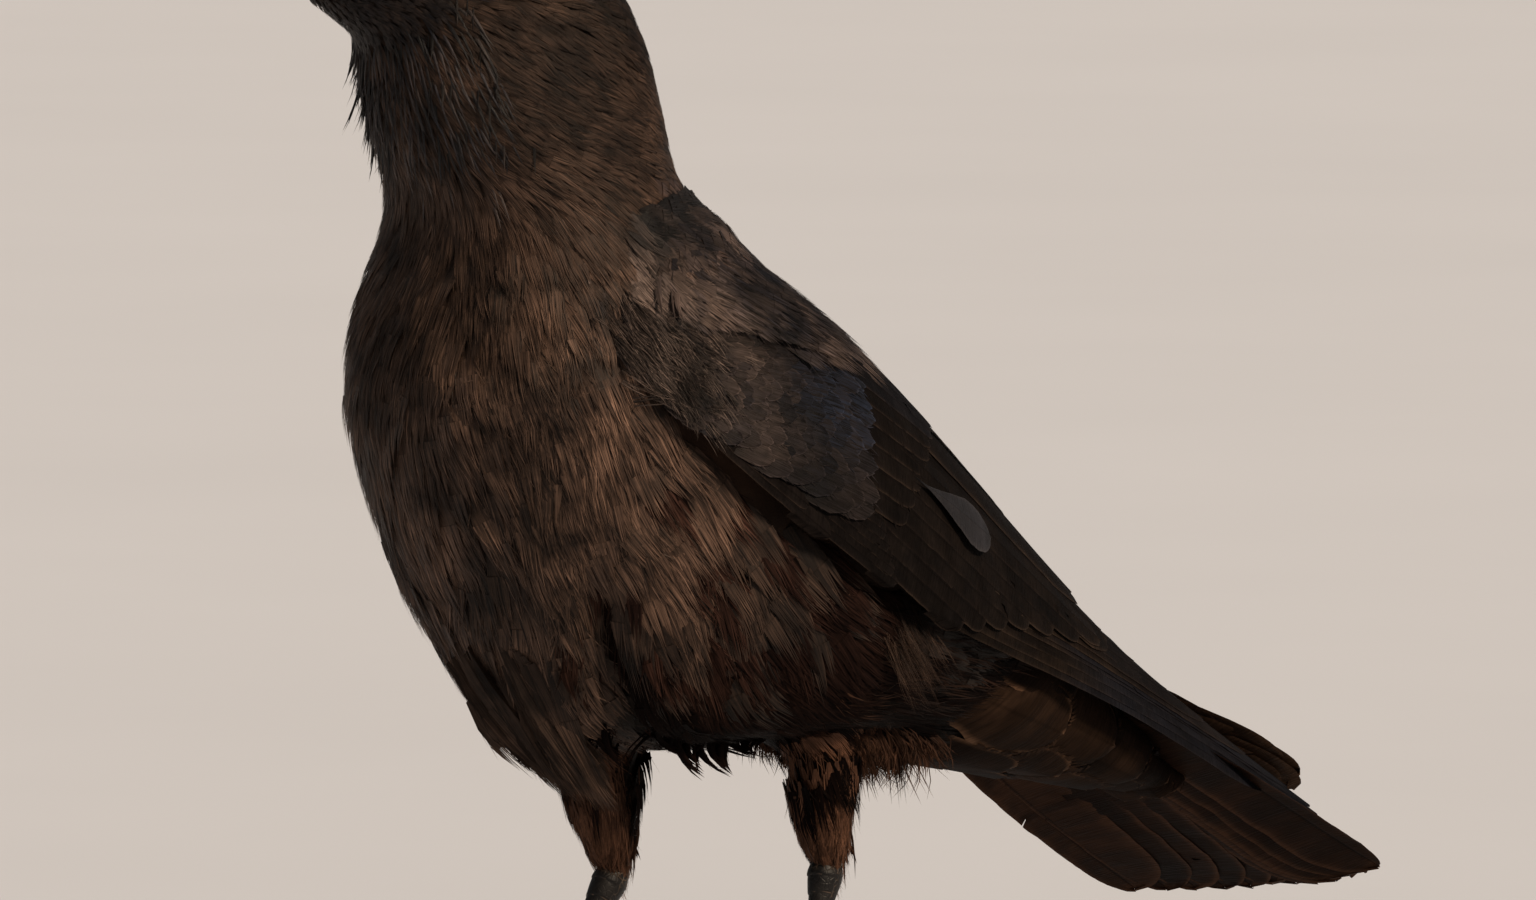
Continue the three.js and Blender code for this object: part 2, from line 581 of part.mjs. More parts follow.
const thighs = {};
for (const [name, leg] of Object.entries(LEGS)) {
  thighs[name] = largest(solid(thigh(leg)).subtract(trunkRoom));
  const bare = solid(shank(leg));
  const feathered = room(thighs[name], GAP);
  let foot = bare.subtract(feathered);
  const toes = Object.entries(TOES).map(([k, toe]) => [k, toeSolid(leg, toe), claw(leg, toe), claw(leg, toe, GAP), toeSolid(leg, toe, GAP)]);
  add("thigh_" + name, geometryOf(thighs[name]), "plumage");
  foot = largest(foot);
  add("shank_" + name, geometryOf(foot), "leg");
  let taken = solid(shank(leg).translate(0, 0, 0));
  taken = room(taken, GAP);
  for (const [k, body, nail, nailRoom, bodyRoom] of toes) {
    const t = largest(body.subtract(taken).subtract(nailRoom));
    add("toe_" + k + "_" + name, geometryOf(t), "leg");
    add("claw_" + k + "_" + name, geometryOf(nail), "horn");
    taken = taken.add(bodyRoom);
  }
}
add("trunk", geometryOf(trunk), "plumage");
add("wing_left", geometryOf(wings.wing_left), "flight");
add("wing_right", geometryOf(wings.wing_right), "flight");
add("tail", geometryOf(tail), "flight");

export default crow;
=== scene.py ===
# A life-size black crow: skin, feathers, bill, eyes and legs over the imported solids.
import math
import bpy
import numpy as np
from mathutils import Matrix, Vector
from mathutils.bvhtree import BVHTree
from mathutils.kdtree import KDTree


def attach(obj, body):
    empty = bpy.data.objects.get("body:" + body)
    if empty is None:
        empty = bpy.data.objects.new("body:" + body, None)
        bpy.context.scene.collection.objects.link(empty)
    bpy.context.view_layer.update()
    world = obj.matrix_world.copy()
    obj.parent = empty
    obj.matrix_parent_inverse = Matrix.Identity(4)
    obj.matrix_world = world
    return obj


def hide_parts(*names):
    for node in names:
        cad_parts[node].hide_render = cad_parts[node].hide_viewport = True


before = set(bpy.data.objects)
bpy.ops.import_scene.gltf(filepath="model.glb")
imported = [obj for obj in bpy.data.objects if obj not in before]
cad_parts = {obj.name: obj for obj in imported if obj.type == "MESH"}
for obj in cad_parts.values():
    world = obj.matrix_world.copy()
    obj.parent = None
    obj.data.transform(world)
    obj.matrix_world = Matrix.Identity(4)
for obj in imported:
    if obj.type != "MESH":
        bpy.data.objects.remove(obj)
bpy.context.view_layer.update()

rng = np.random.default_rng(11)

# ------------------------------------------------------------------ sizes, in cm, in the frame of the solids
SHIFT_Y = -0.43
HEAD_TURN = math.radians(20)
NECK_PIVOT_Y, TURN_FROM_Z, TURN_TO_Z = -9.5, 22.8, 28.6
BILL_LENGTH, BILL_DEPTH, BILL_BASE_Y, BILL_Z = 5.3, 2.0, -14.75, 29.55
TAIL_LENGTH = 17.9
TAIL_PITCH, TAIL_YAW, TAIL_ROLL, TAIL_SPREAD = math.radians(28.9), math.radians(-4), math.radians(6), math.radians(12.5)
TAIL_ARCH = (0.62, 0.15)  # right, left
TAIL_ROOT = np.array([0, 4.6, 12.3])
RIGHT_CROSS = np.array([1.5, 1.3, 0.55])
# back y, back z, front y, front z, half-width, from the nape to the tips of the undertail coverts
BODY = [
    [-7.9, 31.0, -12.3, 30.5, 2.1], [-6.8, 29.6, -13.0, 28.4, 2.85], [-5.8, 27.6, -13.0, 26.7, 3.3], [-5.35, 25.8, -12.45, 25.0, 3.5],
    [-4.75, 24.1, -11.8, 23.2, 3.75], [-3.15, 22.45, -12.3, 21.1, 4.45], [-1.25, 20.8, -12.9, 18.4, 5.1], [0.85, 18.65, -11.75, 14.9, 5.4],
    [2.85, 16.65, -9.55, 11.3, 5.45], [4.4, 15.0, -7.2, 9.15, 5.3], [5.8, 13.6, -2.2, 8.95, 4.85], [7.3, 12.2, 3.0, 8.75, 3.95],
    [8.9, 10.9, 6.7, 8.2, 3.05], [11.2, 9.15, 10.3, 7.5, 2.35], [13.1, 7.9, 12.7, 7.1, 1.45],
]
# y, top z, bottom z, half-width, from the face to the back of the head
HEAD = [
    [-14.9, 30.65, 28.8, 0.82], [-14.3, 31.15, 28.45, 1.3], [-13.3, 31.85, 27.75, 1.95], [-12.1, 32.35, 27.2, 2.4],
    [-10.5, 32.5, 26.95, 2.68], [-9.0, 32.05, 26.95, 2.7], [-7.7, 31.0, 27.4, 2.35], [-6.85, 29.7, 28.2, 1.3],
]
WING_LOW = [[5.0, -8.7, 18.6], [5.75, -6.3, 16.6], [6.0, -3.4, 14.7], [5.8, -0.3, 13.0], [5.25, 3.0, 11.55], [4.55, 6.4, 10.25], [3.85, 10.2, 8.8], [3.2, 14.2, 7.2], [2.45, 17.9, 5.7]]
WING_TOP = [[4.6, -8.2, 22.1], [3.1, -4.2, 22.2], [0.9, -1.7, 21.5], [0.4, 1.6, 19.05], [0.4, 4.6, 16.6], [0.45, 7.5, 14.1], [1.0, 10.7, 11.4], [1.6, 14.4, 8.6], [1.3, 18.2, 6.35]]
WING_BULGE = [[0.2], [0.6], [0.9], [1.0], [0.92], [0.8], [0.55], [0.35], [0.15]]
LEGS = {
    "left": dict(side=1, hip=(2.6, -1.3, 12.0), ankle=(2.45, -0.3, 6.0), foot=(2.85, -1.85, 0.56), out=8, lead=0.04, bulk=0.92),
    "right": dict(side=-1, hip=(-2.6, -3.4, 12.0), ankle=(-2.35, -3.3, 5.65), foot=(-2.9, -6.5, 0.56), out=4, lead=-0.32, bulk=1.3),
}
TOES = {
    "middle": dict(length=3.55, angle=2, r0=0.31, r1=0.23, claw=1.25, bumps=3),
    "inner": dict(length=2.5, angle=-32, r0=0.28, r1=0.22, claw=1.05, bumps=2),
    "outer": dict(length=2.75, angle=34, r0=0.28, r1=0.21, claw=1.0, bumps=4),
    "hind": dict(length=1.85, angle=176, r0=0.3, r1=0.25, claw=1.55, bumps=1),
}
EYE_Y, EYE_Z, EYE_DEPTH, EYE_R = -12.85, 30.3, 0.46, 0.66


# ------------------------------------------------------------------ helpers
def lerp(a, b, t):
    return a + (b - a) * t


def clamp(x, a=0.0, b=1.0):
    return np.minimum(b, np.maximum(a, x))


def smooth(x):
    t = clamp(x)
    return t * t * (3 - 2 * t)


def along(rows, t):
    rows = np.asarray(rows, float)
    t = np.asarray(t, float)
    n = len(rows)
    i = np.clip(np.floor(t).astype(int), 0, n - 2)
    f = (t - i)[..., None]
    at = lambda k: rows[np.clip(k, 0, n - 1)]
    p0, p1, p2, p3 = at(i - 1), at(i), at(i + 1), at(i + 2)
    return 0.5 * (2 * p1 + (p2 - p0) * f + (2 * p0 - 5 * p1 + 4 * p2 - p3) * f * f + (3 * p1 - p0 - 3 * p2 + p3) * f**3)


def unit(v):
    return v / np.maximum(np.linalg.norm(v, axis=-1, keepdims=True), 1e-9)


def dot(a, b):
    return (a * b).sum(-1, keepdims=True)


def table(x, rows):
    """Linear table: rows of (x, value)."""
    r = np.asarray(rows, float)
    return np.interp(x, r[:, 0], r[:, 1])


def turned(p):
    a = -HEAD_TURN * smooth((p[..., 2] - TURN_FROM_Z) / (TURN_TO_Z - TURN_FROM_Z))
    y = p[..., 1] - NECK_PIVOT_Y
    c, s = np.cos(a), np.sin(a)
    return np.stack([p[..., 0] * c - y * s, NECK_PIVOT_Y + p[..., 0] * s + y * c, p[..., 2]], -1)


def body_point(t, a, grow=0.0):
    r = along(BODY, t)
    by, bz, fy, fz, w = [r[..., i] for i in range(5)]
    h = np.hypot(by - fy, bz - fz) / 2
    uy, uz = (by - fy) / (2 * h), (bz - fz) / (2 * h)
    h = h + grow
    full = 1 + 0.045 * np.sin(2 * a) ** 2
    return turned(np.stack([(w + grow) * np.sin(a) * full, (by + fy) / 2 + uy * h * np.cos(a) * full, (bz + fz) / 2 + uz * h * np.cos(a) * full], -1))


def head_point(t, a, grow=0.0):
    r = along(HEAD, t)
    y, top, low, w = [r[..., i] for i in range(4)]
    h = (top - low) / 2 + grow
    return turned(np.stack([(w + grow) * np.sin(a) * (1 - 0.1 * np.cos(a)), y, (top + low) / 2 + h * np.cos(a)], -1))


def wing_point(u, v, side=1):
    t = clamp(np.asarray(u, float)) * 8
    v = np.asarray(v, float)[..., None]
    a, c, k = along(WING_LOW, t), along(WING_TOP, t), along(WING_BULGE, t)
    corner = np.stack([a[..., 0] + 0.12, lerp(a[..., 1], c[..., 1], 0.86), lerp(a[..., 2], c[..., 2], 0.86)], -1)
    b = lerp(lerp(a, c, 0.5), corner, k)
    w = 0.85
    x0, x1, x2 = (1 - v) ** 2, 2 * v * (1 - v) * w, v * v
    p = (a * x0 + b * x1 + c * x2) / (x0 + x1 + x2)
    if side < 0:
        p = p * np.array([-1, 1, 1])
        p = p + smooth((p[..., 1] - 5) / 13)[..., None] * RIGHT_CROSS
    return p


def wing_frame(u, v, side=1):
    """Point, outward normal and the unit direction towards the wing's top edge."""
    e = 0.004
    u, v = np.asarray(u, float), np.asarray(v, float)
    du = wing_point(np.minimum(1, u + e), v, side) - wing_point(np.maximum(0, u - e), v, side)
    dv = wing_point(u, np.minimum(1, v + e), side) - wing_point(u, np.maximum(0, v - e), side)
    n = unit(np.cross(du, dv)) * side
    return wing_point(u, v, side), n, unit(dv)


def across_table():
    us = np.linspace(0, 1, 101)
    vs = np.linspace(0, 1, 61)
    p = wing_point(us[:, None] + 0 * vs[None], vs[None] + 0 * us[:, None])
    d = np.concatenate([np.zeros((101, 1)), np.cumsum(np.linalg.norm(np.diff(p, axis=1), axis=2), 1)], 1)
    return us, vs, d


ACROSS = across_table()


def v_at(u, d):
    """The wing's v for a distance d in cm from the lower edge."""
    us, vs, dd = ACROSS
    u, d = np.broadcast_arrays(np.asarray(u, float), np.asarray(d, float))
    out = np.empty(u.shape)
    for k in np.ndindex(u.shape):
        i = int(round(clamp(u[k]) * 100))
        out[k] = np.interp(d[k], dd[i], vs)
    return out


def rot(axis, a):
    c, s = math.cos(a), math.sin(a)
    return {"x": np.array([[1, 0, 0], [0, c, -s], [0, s, c]]), "y": np.array([[c, 0, s], [0, 1, 0], [-s, 0, c]]), "z": np.array([[c, -s, 0], [s, c, 0], [0, 0, 1]])}[axis]


TAIL_TURN = rot("z", -TAIL_YAW) @ rot("x", -TAIL_PITCH) @ rot("y", -TAIL_ROLL)


def tail_point(s, q, lift=0.0):
    t = clamp(s / TAIL_LENGTH)
    a = TAIL_SPREAD * q
    bow = 0.35 * np.sin(np.pi * t)
    arch = np.where(q < 0, TAIL_ARCH[0], TAIL_ARCH[1])
    droop = q * q * (0.3 + arch * np.sin(np.pi * t**0.85) + 0.1 * t)
    p = np.stack([0.85 * q + s * np.sin(a) + bow * q, s * np.cos(a), lift - droop + 0 * s], -1)
    return p @ TAIL_TURN.T + TAIL_ROOT


def tail_frame(s, q):
    e = 0.05
    p = tail_point(s, q)
    t = unit(tail_point(s + e, q) - tail_point(s - e, q))
    across = unit(tail_point(s, q + 0.02) - tail_point(s, q - 0.02))
    n = unit(np.cross(across, t))
    n = n * np.sign(n[..., 2:3] + 1e-9)
    return p, t, n


def metres(p):
    return (np.asarray(p, float) + np.array([0, SHIFT_Y, 0])) * 0.01


# ------------------------------------------------------------------ meshes
def make_mesh(name, co_cm, faces, uvs=None, fx=None, smooth_shade=True):
    """faces: (F, 3) or (F, 4) array, or a list of such arrays. uvs: {name: (V, 2)}. fx: (V, 4)."""
    groups = faces if isinstance(faces, list) else [faces]
    groups = [np.asarray(g, np.int32) for g in groups if len(g)]
    co = metres(co_cm).astype(np.float32)
    me = bpy.data.meshes.new(name)
    me.vertices.add(len(co))
    me.vertices.foreach_set("co", co.ravel())
    loops = np.concatenate([g.ravel() for g in groups])
    sizes = np.concatenate([np.full(len(g), g.shape[1], np.int32) for g in groups])
    me.loops.add(len(loops))
    me.loops.foreach_set("vertex_index", loops)
    me.polygons.add(len(sizes))
    me.polygons.foreach_set("loop_start", np.concatenate([[0], np.cumsum(sizes)[:-1]]).astype(np.int32))
    me.polygons.foreach_set("use_smooth", np.full(len(sizes), smooth_shade))
    for k, uv in (uvs or {}).items():
        layer = me.uv_layers.new(name=k)
        layer.data.foreach_set("uv", np.asarray(uv, np.float32)[loops].ravel())
    if fx is not None:
        at = me.attributes.new("fx", "FLOAT_COLOR", "POINT")
        at.data.foreach_set("color", np.asarray(fx, np.float32).ravel())
    me.update(calc_edges=True)
    me.validate()
    ob = bpy.data.objects.new(name, me)
    bpy.context.scene.collection.objects.link(ob)
    return ob


def grid_faces(nr, nc, wrap=False):
    """Quads of an nr by nc grid of vertices; wrap joins the last column to the first."""
    i = np.arange(nr - 1)[:, None]
    j = np.arange(nc if wrap else nc - 1)[None]
    k = (j + 1) % nc
    a, b, c, d = i * nc + j, i * nc + k, (i + 1) * nc + k, (i + 1) * nc + j
    return np.stack([a, b, c, d], -1).reshape(-1, 4)


def caps(nr, nc):
    """Fan-free end caps of a wrapped grid: two n-gons split into triangles."""
    first = np.array([[0, j + 1, j] for j in range(1, nc - 1)])
    base = (nr - 1) * nc
    last = np.array([[base, base + j, base + j + 1] for j in range(1, nc - 1)])
    return np.vstack([first, last])


def tube_rings(points, radii, sides, steps, squash=1.0):
    pts = np.asarray(points, float)
    t = np.linspace(0, 1, steps + 1)
    e = 1e-3
    c = along(pts, t * (len(pts) - 1))
    d = unit(along(pts, np.minimum(1, t + e) * (len(pts) - 1)) - along(pts, np.maximum(0, t - e) * (len(pts) - 1)))
    x = unit(np.array([1.0, 0, 0]) - d * d[:, :1])
    y = unit(np.cross(d, x))
    r = along(radii, t * (len(radii) - 1))
    a = np.linspace(0, 2 * np.pi, sides, endpoint=False)
    return c[:, None] + x[:, None] * (r[:, None, :1] * np.cos(a)[None, :, None]) + y[:, None] * (r[:, None, 1:2] * squash * np.sin(a)[None, :, None]), c, d, x, y


class Pile:
    """Collects pieces of one mesh: vertices, faces, feather coordinates, bake patches and effects."""

    def __init__(self):
        self.co, self.tri, self.vane, self.bake, self.fx, self.n = [], [], [], [], [], 0

    def add(self, co, tri, vane, bake, fx):
        # co: (F, V, 3); tri: (T, 3) in one template; vane, bake: (F, V, 2); fx: (F, V, 4)
        f, v = co.shape[:2]
        self.co.append(co.reshape(-1, 3))
        self.tri.append((tri[None] + (self.n + np.arange(f) * v)[:, None, None]).reshape(-1, tri.shape[-1]))
        self.vane.append(np.broadcast_to(vane, (f, v, 2)).reshape(-1, 2))
        self.bake.append(np.broadcast_to(bake, (f, v, 2)).reshape(-1, 2))
        self.fx.append(np.broadcast_to(fx, (f, v, 4)).reshape(-1, 4))
        self.n += f * v

    def triangles(self):
        return sum(len(t) * (t.shape[1] - 2) for t in self.tri)

    def build(self, name, material, slot, replaces=()):
        quads = [t for t in self.tri if t.shape[1] == 4]
        tris = [t for t in self.tri if t.shape[1] == 3]
        groups = [np.vstack(g) for g in (quads, tris) if g]
        ob = make_mesh(name, np.vstack(self.co), groups, {"OFBake": np.vstack(self.bake), "vane": np.vstack(self.vane)}, np.vstack(self.fx))
        ob.data.materials.append(material)
        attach(ob, "root")
        if replaces:
            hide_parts(*replaces)
        print("piece", name, self.triangles())
        return ob


# ------------------------------------------------------------------ feather templates
# A template is a unit feather: s along it, x across it (-1 to 1 of its half-width), z above it in cm, and its own triangles.
def soft_template(strands, start, point, lean, seed, rows=4, side=3, ragged=0.12, curl=0.0, segs=3, fine=0.85):
    """A small body feather whose outer part parts into strands. point: 0 round tip, 1 drawn out; lean: how far strands spread."""
    r = np.random.default_rng(seed)
    s, x, z, tri, tone = [], [], [], [], []

    def prof(t):
        return 0.35 + 0.65 * float(smooth(t / 0.35))

    cols = [-1, -0.5, 0, 0.5, 1]
    for i in range(rows + 1):
        t = start * i / rows
        for c in cols:
            s.append(t), x.append(c * prof(t)), z.append(-0.01 * c * c), tone.append(0.5)
    for i in range(rows):
        for j in range(4):
            a = i * 5 + j
            tri += [[a, a + 1, a + 6], [a, a + 6, a + 5]]
    # neighbouring strands cling together in a few locks
    n_locks = max(2, strands // 5)
    lock_at = np.linspace(-0.8, 0.8, n_locks) + r.normal(0, 0.08, n_locks)
    for k in range(strands):
        x0, x1 = -1 + 2 * k / strands, -1 + 2 * (k + 1) / strands
        xm = (x0 + x1) / 2
        reach = math.sqrt(max(0.0, 1 - (0.85 * xm) ** 2))
        tip = start + (1 - start) * lerp(reach, (1 - abs(xm)) ** 1.2, point) * (1 - ragged * r.random()) + 0.02 * r.standard_normal()
        tip = max(tip, start + 0.1)
        near = lock_at[np.abs(lock_at - xm).argmin()]
        drift = lean * xm + 0.45 * (near - xm) + 0.035 * r.standard_normal() * (1 + 2 * abs(lean))
        if point > 0:
            drift -= point * xm * 0.8
        up = r.uniform(-0.012, 0.02)
        shade = clamp(0.5 + 0.22 * r.standard_normal())
        b = len(s)
        for i in range(segs):
            f = i / segs
            t = lerp(start * 0.86, tip, f)
            half = (x1 - x0) / 2 * (1.2 - fine * f)
            m = xm + drift * f**1.4
            for sgn in (-1, 1):
                s.append(t), x.append(m + sgn * half), z.append(0.003 + up * f + curl * f * f), tone.append(shade)
        s.append(tip), x.append(xm + drift), z.append(0.003 + up + curl), tone.append(shade)
        for i in range(segs - 1):
            a = b + 2 * i
            tri += [[a, a + 1, a + 3], [a, a + 3, a + 2]]
        a = b + 2 * (segs - 1)
        tri += [[a, a + 1, a + 2]]
    for sgn in (-1, 1):
        for k in range(side):
            t0 = start * (0.45 + 0.5 * (k + 0.5 * r.random()) / max(side, 1))
            b = len(s)
            e = prof(t0) * sgn
            out = 0.2 + 0.25 * r.random()
            shade = r.random()
            for (ds, dx) in ((-0.02, -0.15), (0.04, -0.08), (0.18 + 0.1 * r.random(), out)):
                s.append(t0 + ds), x.append(e + sgn * dx), z.append(0.002 - 0.02 * max(0, dx)), tone.append(shade)
            tri.append([b, b + 1, b + 2] if sgn > 0 else [b, b + 2, b + 1])
    return dict(s=np.array(s), x=np.array(x), z=np.array(z), tri=np.array(tri), tone=np.array(tone))


def scale_template(seed, frayed=6, rim=1.0, core=0.34):
    """A small smooth covert with a round tip, a paler rim and a few frayed barbs."""
    r = np.random.default_rng(seed)
    s, x, z, tri, tone = [], [], [], [], []
    rows, cols = [0, 0.2, 0.4, 0.56, 0.7, 0.82, 0.92, 0.965, 1.0], [-1, -0.84, -0.42, 0, 0.42, 0.84, 1]

    def prof(t):
        return (0.5 + 0.5 * float(smooth(t / 0.35))) * math.sqrt(max(0.0, 1 - (max(0.0, t - 0.58) / 0.44) ** 2.3))

    lean = r.normal(0, 0.05)
    for t in rows:
        for c in cols:
            edge = (abs(c) == 1) * float(smooth(t / 0.3)) + (t == 1.0)
            s.append(t - 0.05 * abs(c) * t + 0.012 * r.standard_normal() * (t > 0.5)), x.append(c * prof(t) + lean * t * t + 0.02 * r.standard_normal() * (abs(c) == 1))
            z.append(-0.014 * c * c + 0.006 * (c == 0)), tone.append(clamp(core + 0.07 * r.standard_normal() + (rim - core) * min(1, edge)))
    for i in range(len(rows) - 1):
        for j in range(6):
            a = i * 7 + j
            tri += [[a, a + 1, a + 8], [a, a + 8, a + 7]]
    for k in range(frayed):
        sgn = -1 if k % 2 else 1
        t0 = r.uniform(0.4, 0.97)
        e = prof(t0) * sgn + lean * t0 * t0
        b = len(s)
        for (ds, dx) in ((-0.04, -0.16), (0.03, -0.1), (0.1 + 0.05 * r.random(), 0.06 + 0.08 * r.random())):
            s.append(t0 + ds), x.append(e + sgn * dx), z.append(0.002), tone.append(0.6)
        tri.append([b, b + 1, b + 2] if sgn > 0 else [b, b + 2, b + 1])
    return dict(s=np.array(s), x=np.array(x), z=np.array(z), tri=np.array(tri), tone=np.array(tone))


def spike_template(seed, stray=5, rows=5, power=0.75, fold=0.25):
    """A wet or lanceolate feather drawn into a point: a narrow folded vane with a few stray barbs."""
    r = np.random.default_rng(seed)
    s, x, z, tri, tone = [], [], [], [], []
    # across the folded vane one half is painted lighter and the other darker: painted light and shade of the fold
    for i in range(rows + 1):
        t = i / rows
        w = (0.45 + 0.55 * smooth(t / 0.3)) * (1 - t**1.3) ** power
        for c in (-1, 0, 1):
            s.append(t), x.append(c * w), z.append(fold * 0.1 * w * (1 - abs(c))), tone.append(0.5 + 0.3 * c)
    for i in range(rows):
        for j in range(2):
            a = i * 3 + j
            tri += [[a, a + 1, a + 4], [a, a + 4, a + 3]] if i < rows - 1 else [[a, a + 1, (i + 1) * 3 + 1]]
    for k in range(stray):
        sgn = -1 if k % 2 else 1
        t0 = r.uniform(0.25, 0.8)
        w = (1 - t0**1.3) ** power
        b = len(s)
        shade = r.random()
        out = r.uniform(0.3, 1.0)
        for (ds, xx) in ((0, w * 0.5), (0.06, w * 0.7), (r.uniform(0.14, 0.26), w * 0.6 + out)):
            s.append(t0 + ds), x.append(sgn * xx), z.append(0.003), tone.append(shade)
        tri.append([b, b + 1, b + 2] if sgn > 0 else [b, b + 2, b + 1])
    return dict(s=np.array(s), x=np.array(x), z=np.array(z), tri=np.array(tri), tone=np.array(tone))


def hair_template(hairs, seed, spread=1.0):
    """A tuft of fine hairs fanning from one root."""
    r = np.random.default_rng(seed)
    s, x, z, tri, tone = [], [], [], [], []
    for k in range(hairs):
        x0 = r.uniform(-0.8, 0.8)
        dx = r.normal(0, 0.5) * spread
        up = r.normal(0, 0.05) * spread
        t1 = r.uniform(0.6, 1.0)
        w = r.uniform(0.05, 0.09)
        b = len(s)
        shade = r.random()
        for i, f in enumerate((0, 0.4, 0.75)):
            for sgn in (-1, 1):
                s.append(t1 * f), x.append(x0 + dx * f * f + sgn * w * (1 - 0.6 * f)), z.append(up * f * f), tone.append(shade)
        s.append(t1), x.append(x0 + dx), z.append(up), tone.append(shade)
        tri += [[b, b + 1, b + 3], [b, b + 3, b + 2], [b + 2, b + 3, b + 5], [b + 2, b + 5, b + 4], [b + 4, b + 5, b + 6]]
    return dict(s=np.array(s), x=np.array(x), z=np.array(z), tri=np.array(tri), tone=np.array(tone))


def lay_feathers(pile, tpl, p0, p1, p2, n0, n1, n2, half, roll, camber, bake_at, fx, zscale=1.0):
    """Bends copies of a template along the curves p0-p1-p2. All inputs are arrays over the feathers."""
    s, x, z = tpl["s"][None, :, None], tpl["x"][None, :, None], tpl["z"][None, :, None]
    a, b, c = p0[:, None], p1[:, None] * 2 - (p0[:, None] + p2[:, None]) * 0.5, p2[:, None]
    pos = (1 - s) ** 2 * a + 2 * s * (1 - s) * b + s * s * c
    tan = unit(2 * (1 - s) * (b - a) + 2 * s * (c - b))
    n = (1 - s) ** 2 * n0[:, None] + 2 * s * (1 - s) * n1[:, None] + s * s * n2[:, None]
    n = unit(n - tan * dot(n, tan))
    side = np.cross(n, tan)
    ro = roll[:, None, None]
    n2_ = n * np.cos(ro) + side * np.sin(ro)
    side = side * np.cos(ro) - n * np.sin(ro)
    w = half[:, None, None]
    co = pos + side * x * w + n2_ * (z * zscale - camber[:, None, None] * (x * w) ** 2)
    uv = np.stack([tpl["x"] * 0.5 + 0.5, tpl["s"]], -1)[None]
    bake = bake_at[:, None] + (uv - 0.5) * 0.003
    f = np.broadcast_to(fx[:, None], (len(p0), len(tpl["s"]), 4)).copy()
    f[..., 3] = tpl["tone"][None] * (1 - fx[:, 3:4])
    pile.add(co, tpl["tri"], uv, clamp(bake, 0.001, 0.999), f)


# ------------------------------------------------------------------ outer form of the fleshy parts
def leg_tube(leg, grow=0.0, sides=28, steps=16):
    hip = np.array(leg["hip"])
    a = np.array(leg["ankle"]) + np.array([0, 0.02, 0.18])
    at = lambda t, dy: lerp(hip, a, t) + np.array([0, dy, 0])
    b = leg["bulk"]
    radii = np.array([[2.0 * b, 2.4 * b], [1.35 * b, 1.6 * b], [0.9, 1.0], [0.7, 0.76], [0.54, 0.6]]) + grow
    return tube_rings([hip, at(0.38, leg["lead"] * 1.4), at(0.7, leg["lead"]), at(0.88, leg["lead"] * 0.3), a], radii, sides, steps)


def closed_grid(rings):
    nr, nc = rings.shape[:2]
    co = rings.reshape(-1, 3)
    mid = np.vstack([rings[0].mean(0), rings[-1].mean(0)])
    j = np.arange(nc)
    k = (j + 1) % nc
    first = np.stack([np.full(nc, nr * nc), k, j], -1)
    last = np.stack([np.full(nc, nr * nc + 1), (nr - 1) * nc + j, (nr - 1) * nc + k], -1)
    return np.vstack([co, mid]), grid_faces(nr, nc, True), np.vstack([first, last])


def outward(co, quads, tris):
    """Flips all faces if they point inwards."""
    t = np.vstack([quads[:, [0, 1, 2]], quads[:, [0, 2, 3]], tris])
    v = np.einsum("ij,ij->i", co[t[:, 0]], np.cross(co[t[:, 1]], co[t[:, 2]])).sum()
    return (quads, tris) if v > 0 else (quads[:, ::-1], tris[:, ::-1])


def union_form():
    ang = np.linspace(0, 2 * np.pi, 64, endpoint=False)
    parts = []
    ts = np.linspace(0, 14, 113)
    parts.append(closed_grid(body_point(ts[:, None] + 0 * ang, ang + 0 * ts[:, None])))
    th = np.linspace(0, 7, 57)
    parts.append(closed_grid(head_point(th[:, None] + 0 * ang, ang + 0 * th[:, None])))
    for leg in LEGS.values():
        parts.append(closed_grid(leg_tube(leg)[0]))
    obs = []
    for i, (co, q, t) in enumerate(parts):
        q, t = outward(co, q, t)
        obs.append(make_mesh("form%d" % i, co, [q, t]))
    for o in bpy.context.selected_objects:
        o.select_set(False)
    for o in obs:
        o.select_set(True)
    bpy.context.view_layer.objects.active = obs[0]
    bpy.ops.object.join()
    ob = bpy.context.view_layer.objects.active
    m = ob.modifiers.new("r", "REMESH")
    m.mode, m.voxel_size, m.adaptivity = "VOXEL", 0.0026, 0.0
    dg = bpy.context.evaluated_depsgraph_get()
    me = bpy.data.meshes.new_from_object(ob.evaluated_get(dg))
    bpy.data.objects.remove(ob)
    n = len(me.vertices)
    co = np.empty(n * 3, np.float32)
    me.vertices.foreach_get("co", co)
    co = co.reshape(-1, 3).astype(float) * 100 - np.array([0, SHIFT_Y, 0])
    e = np.empty(len(me.edges) * 2, np.int32)
    me.edges.foreach_get("vertices", e)
    e = e.reshape(-1, 2)
    loops = np.empty(len(me.loops), np.int32)
    me.loops.foreach_get("vertex_index", loops)
    assert len(loops) == 4 * len(me.polygons)
    quads = loops.reshape(-1, 4)
    deg = np.bincount(e.ravel(), minlength=n).astype(float)[:, None]

    def relax(a, k):
        for _ in range(k):
            acc = np.zeros_like(a)
            np.add.at(acc, e[:, 0], a[e[:, 1]])
            np.add.at(acc, e[:, 1], a[e[:, 0]])
            a = lerp(a, acc / deg, 0.5)
        return a

    # a smoothing of the voxel surface: relax it three times over
    for _ in range(3):
        co = relax(co, 3)
    fn = np.cross(co[quads[:, 2]] - co[quads[:, 0]], co[quads[:, 3]] - co[quads[:, 1]])
    vn = np.zeros_like(co)
    for k in range(4):
        np.add.at(vn, quads[:, k], fn)
    vn = unit(relax(unit(vn), 4))
    bpy.data.meshes.remove(me)
    return co, quads, vn, relax


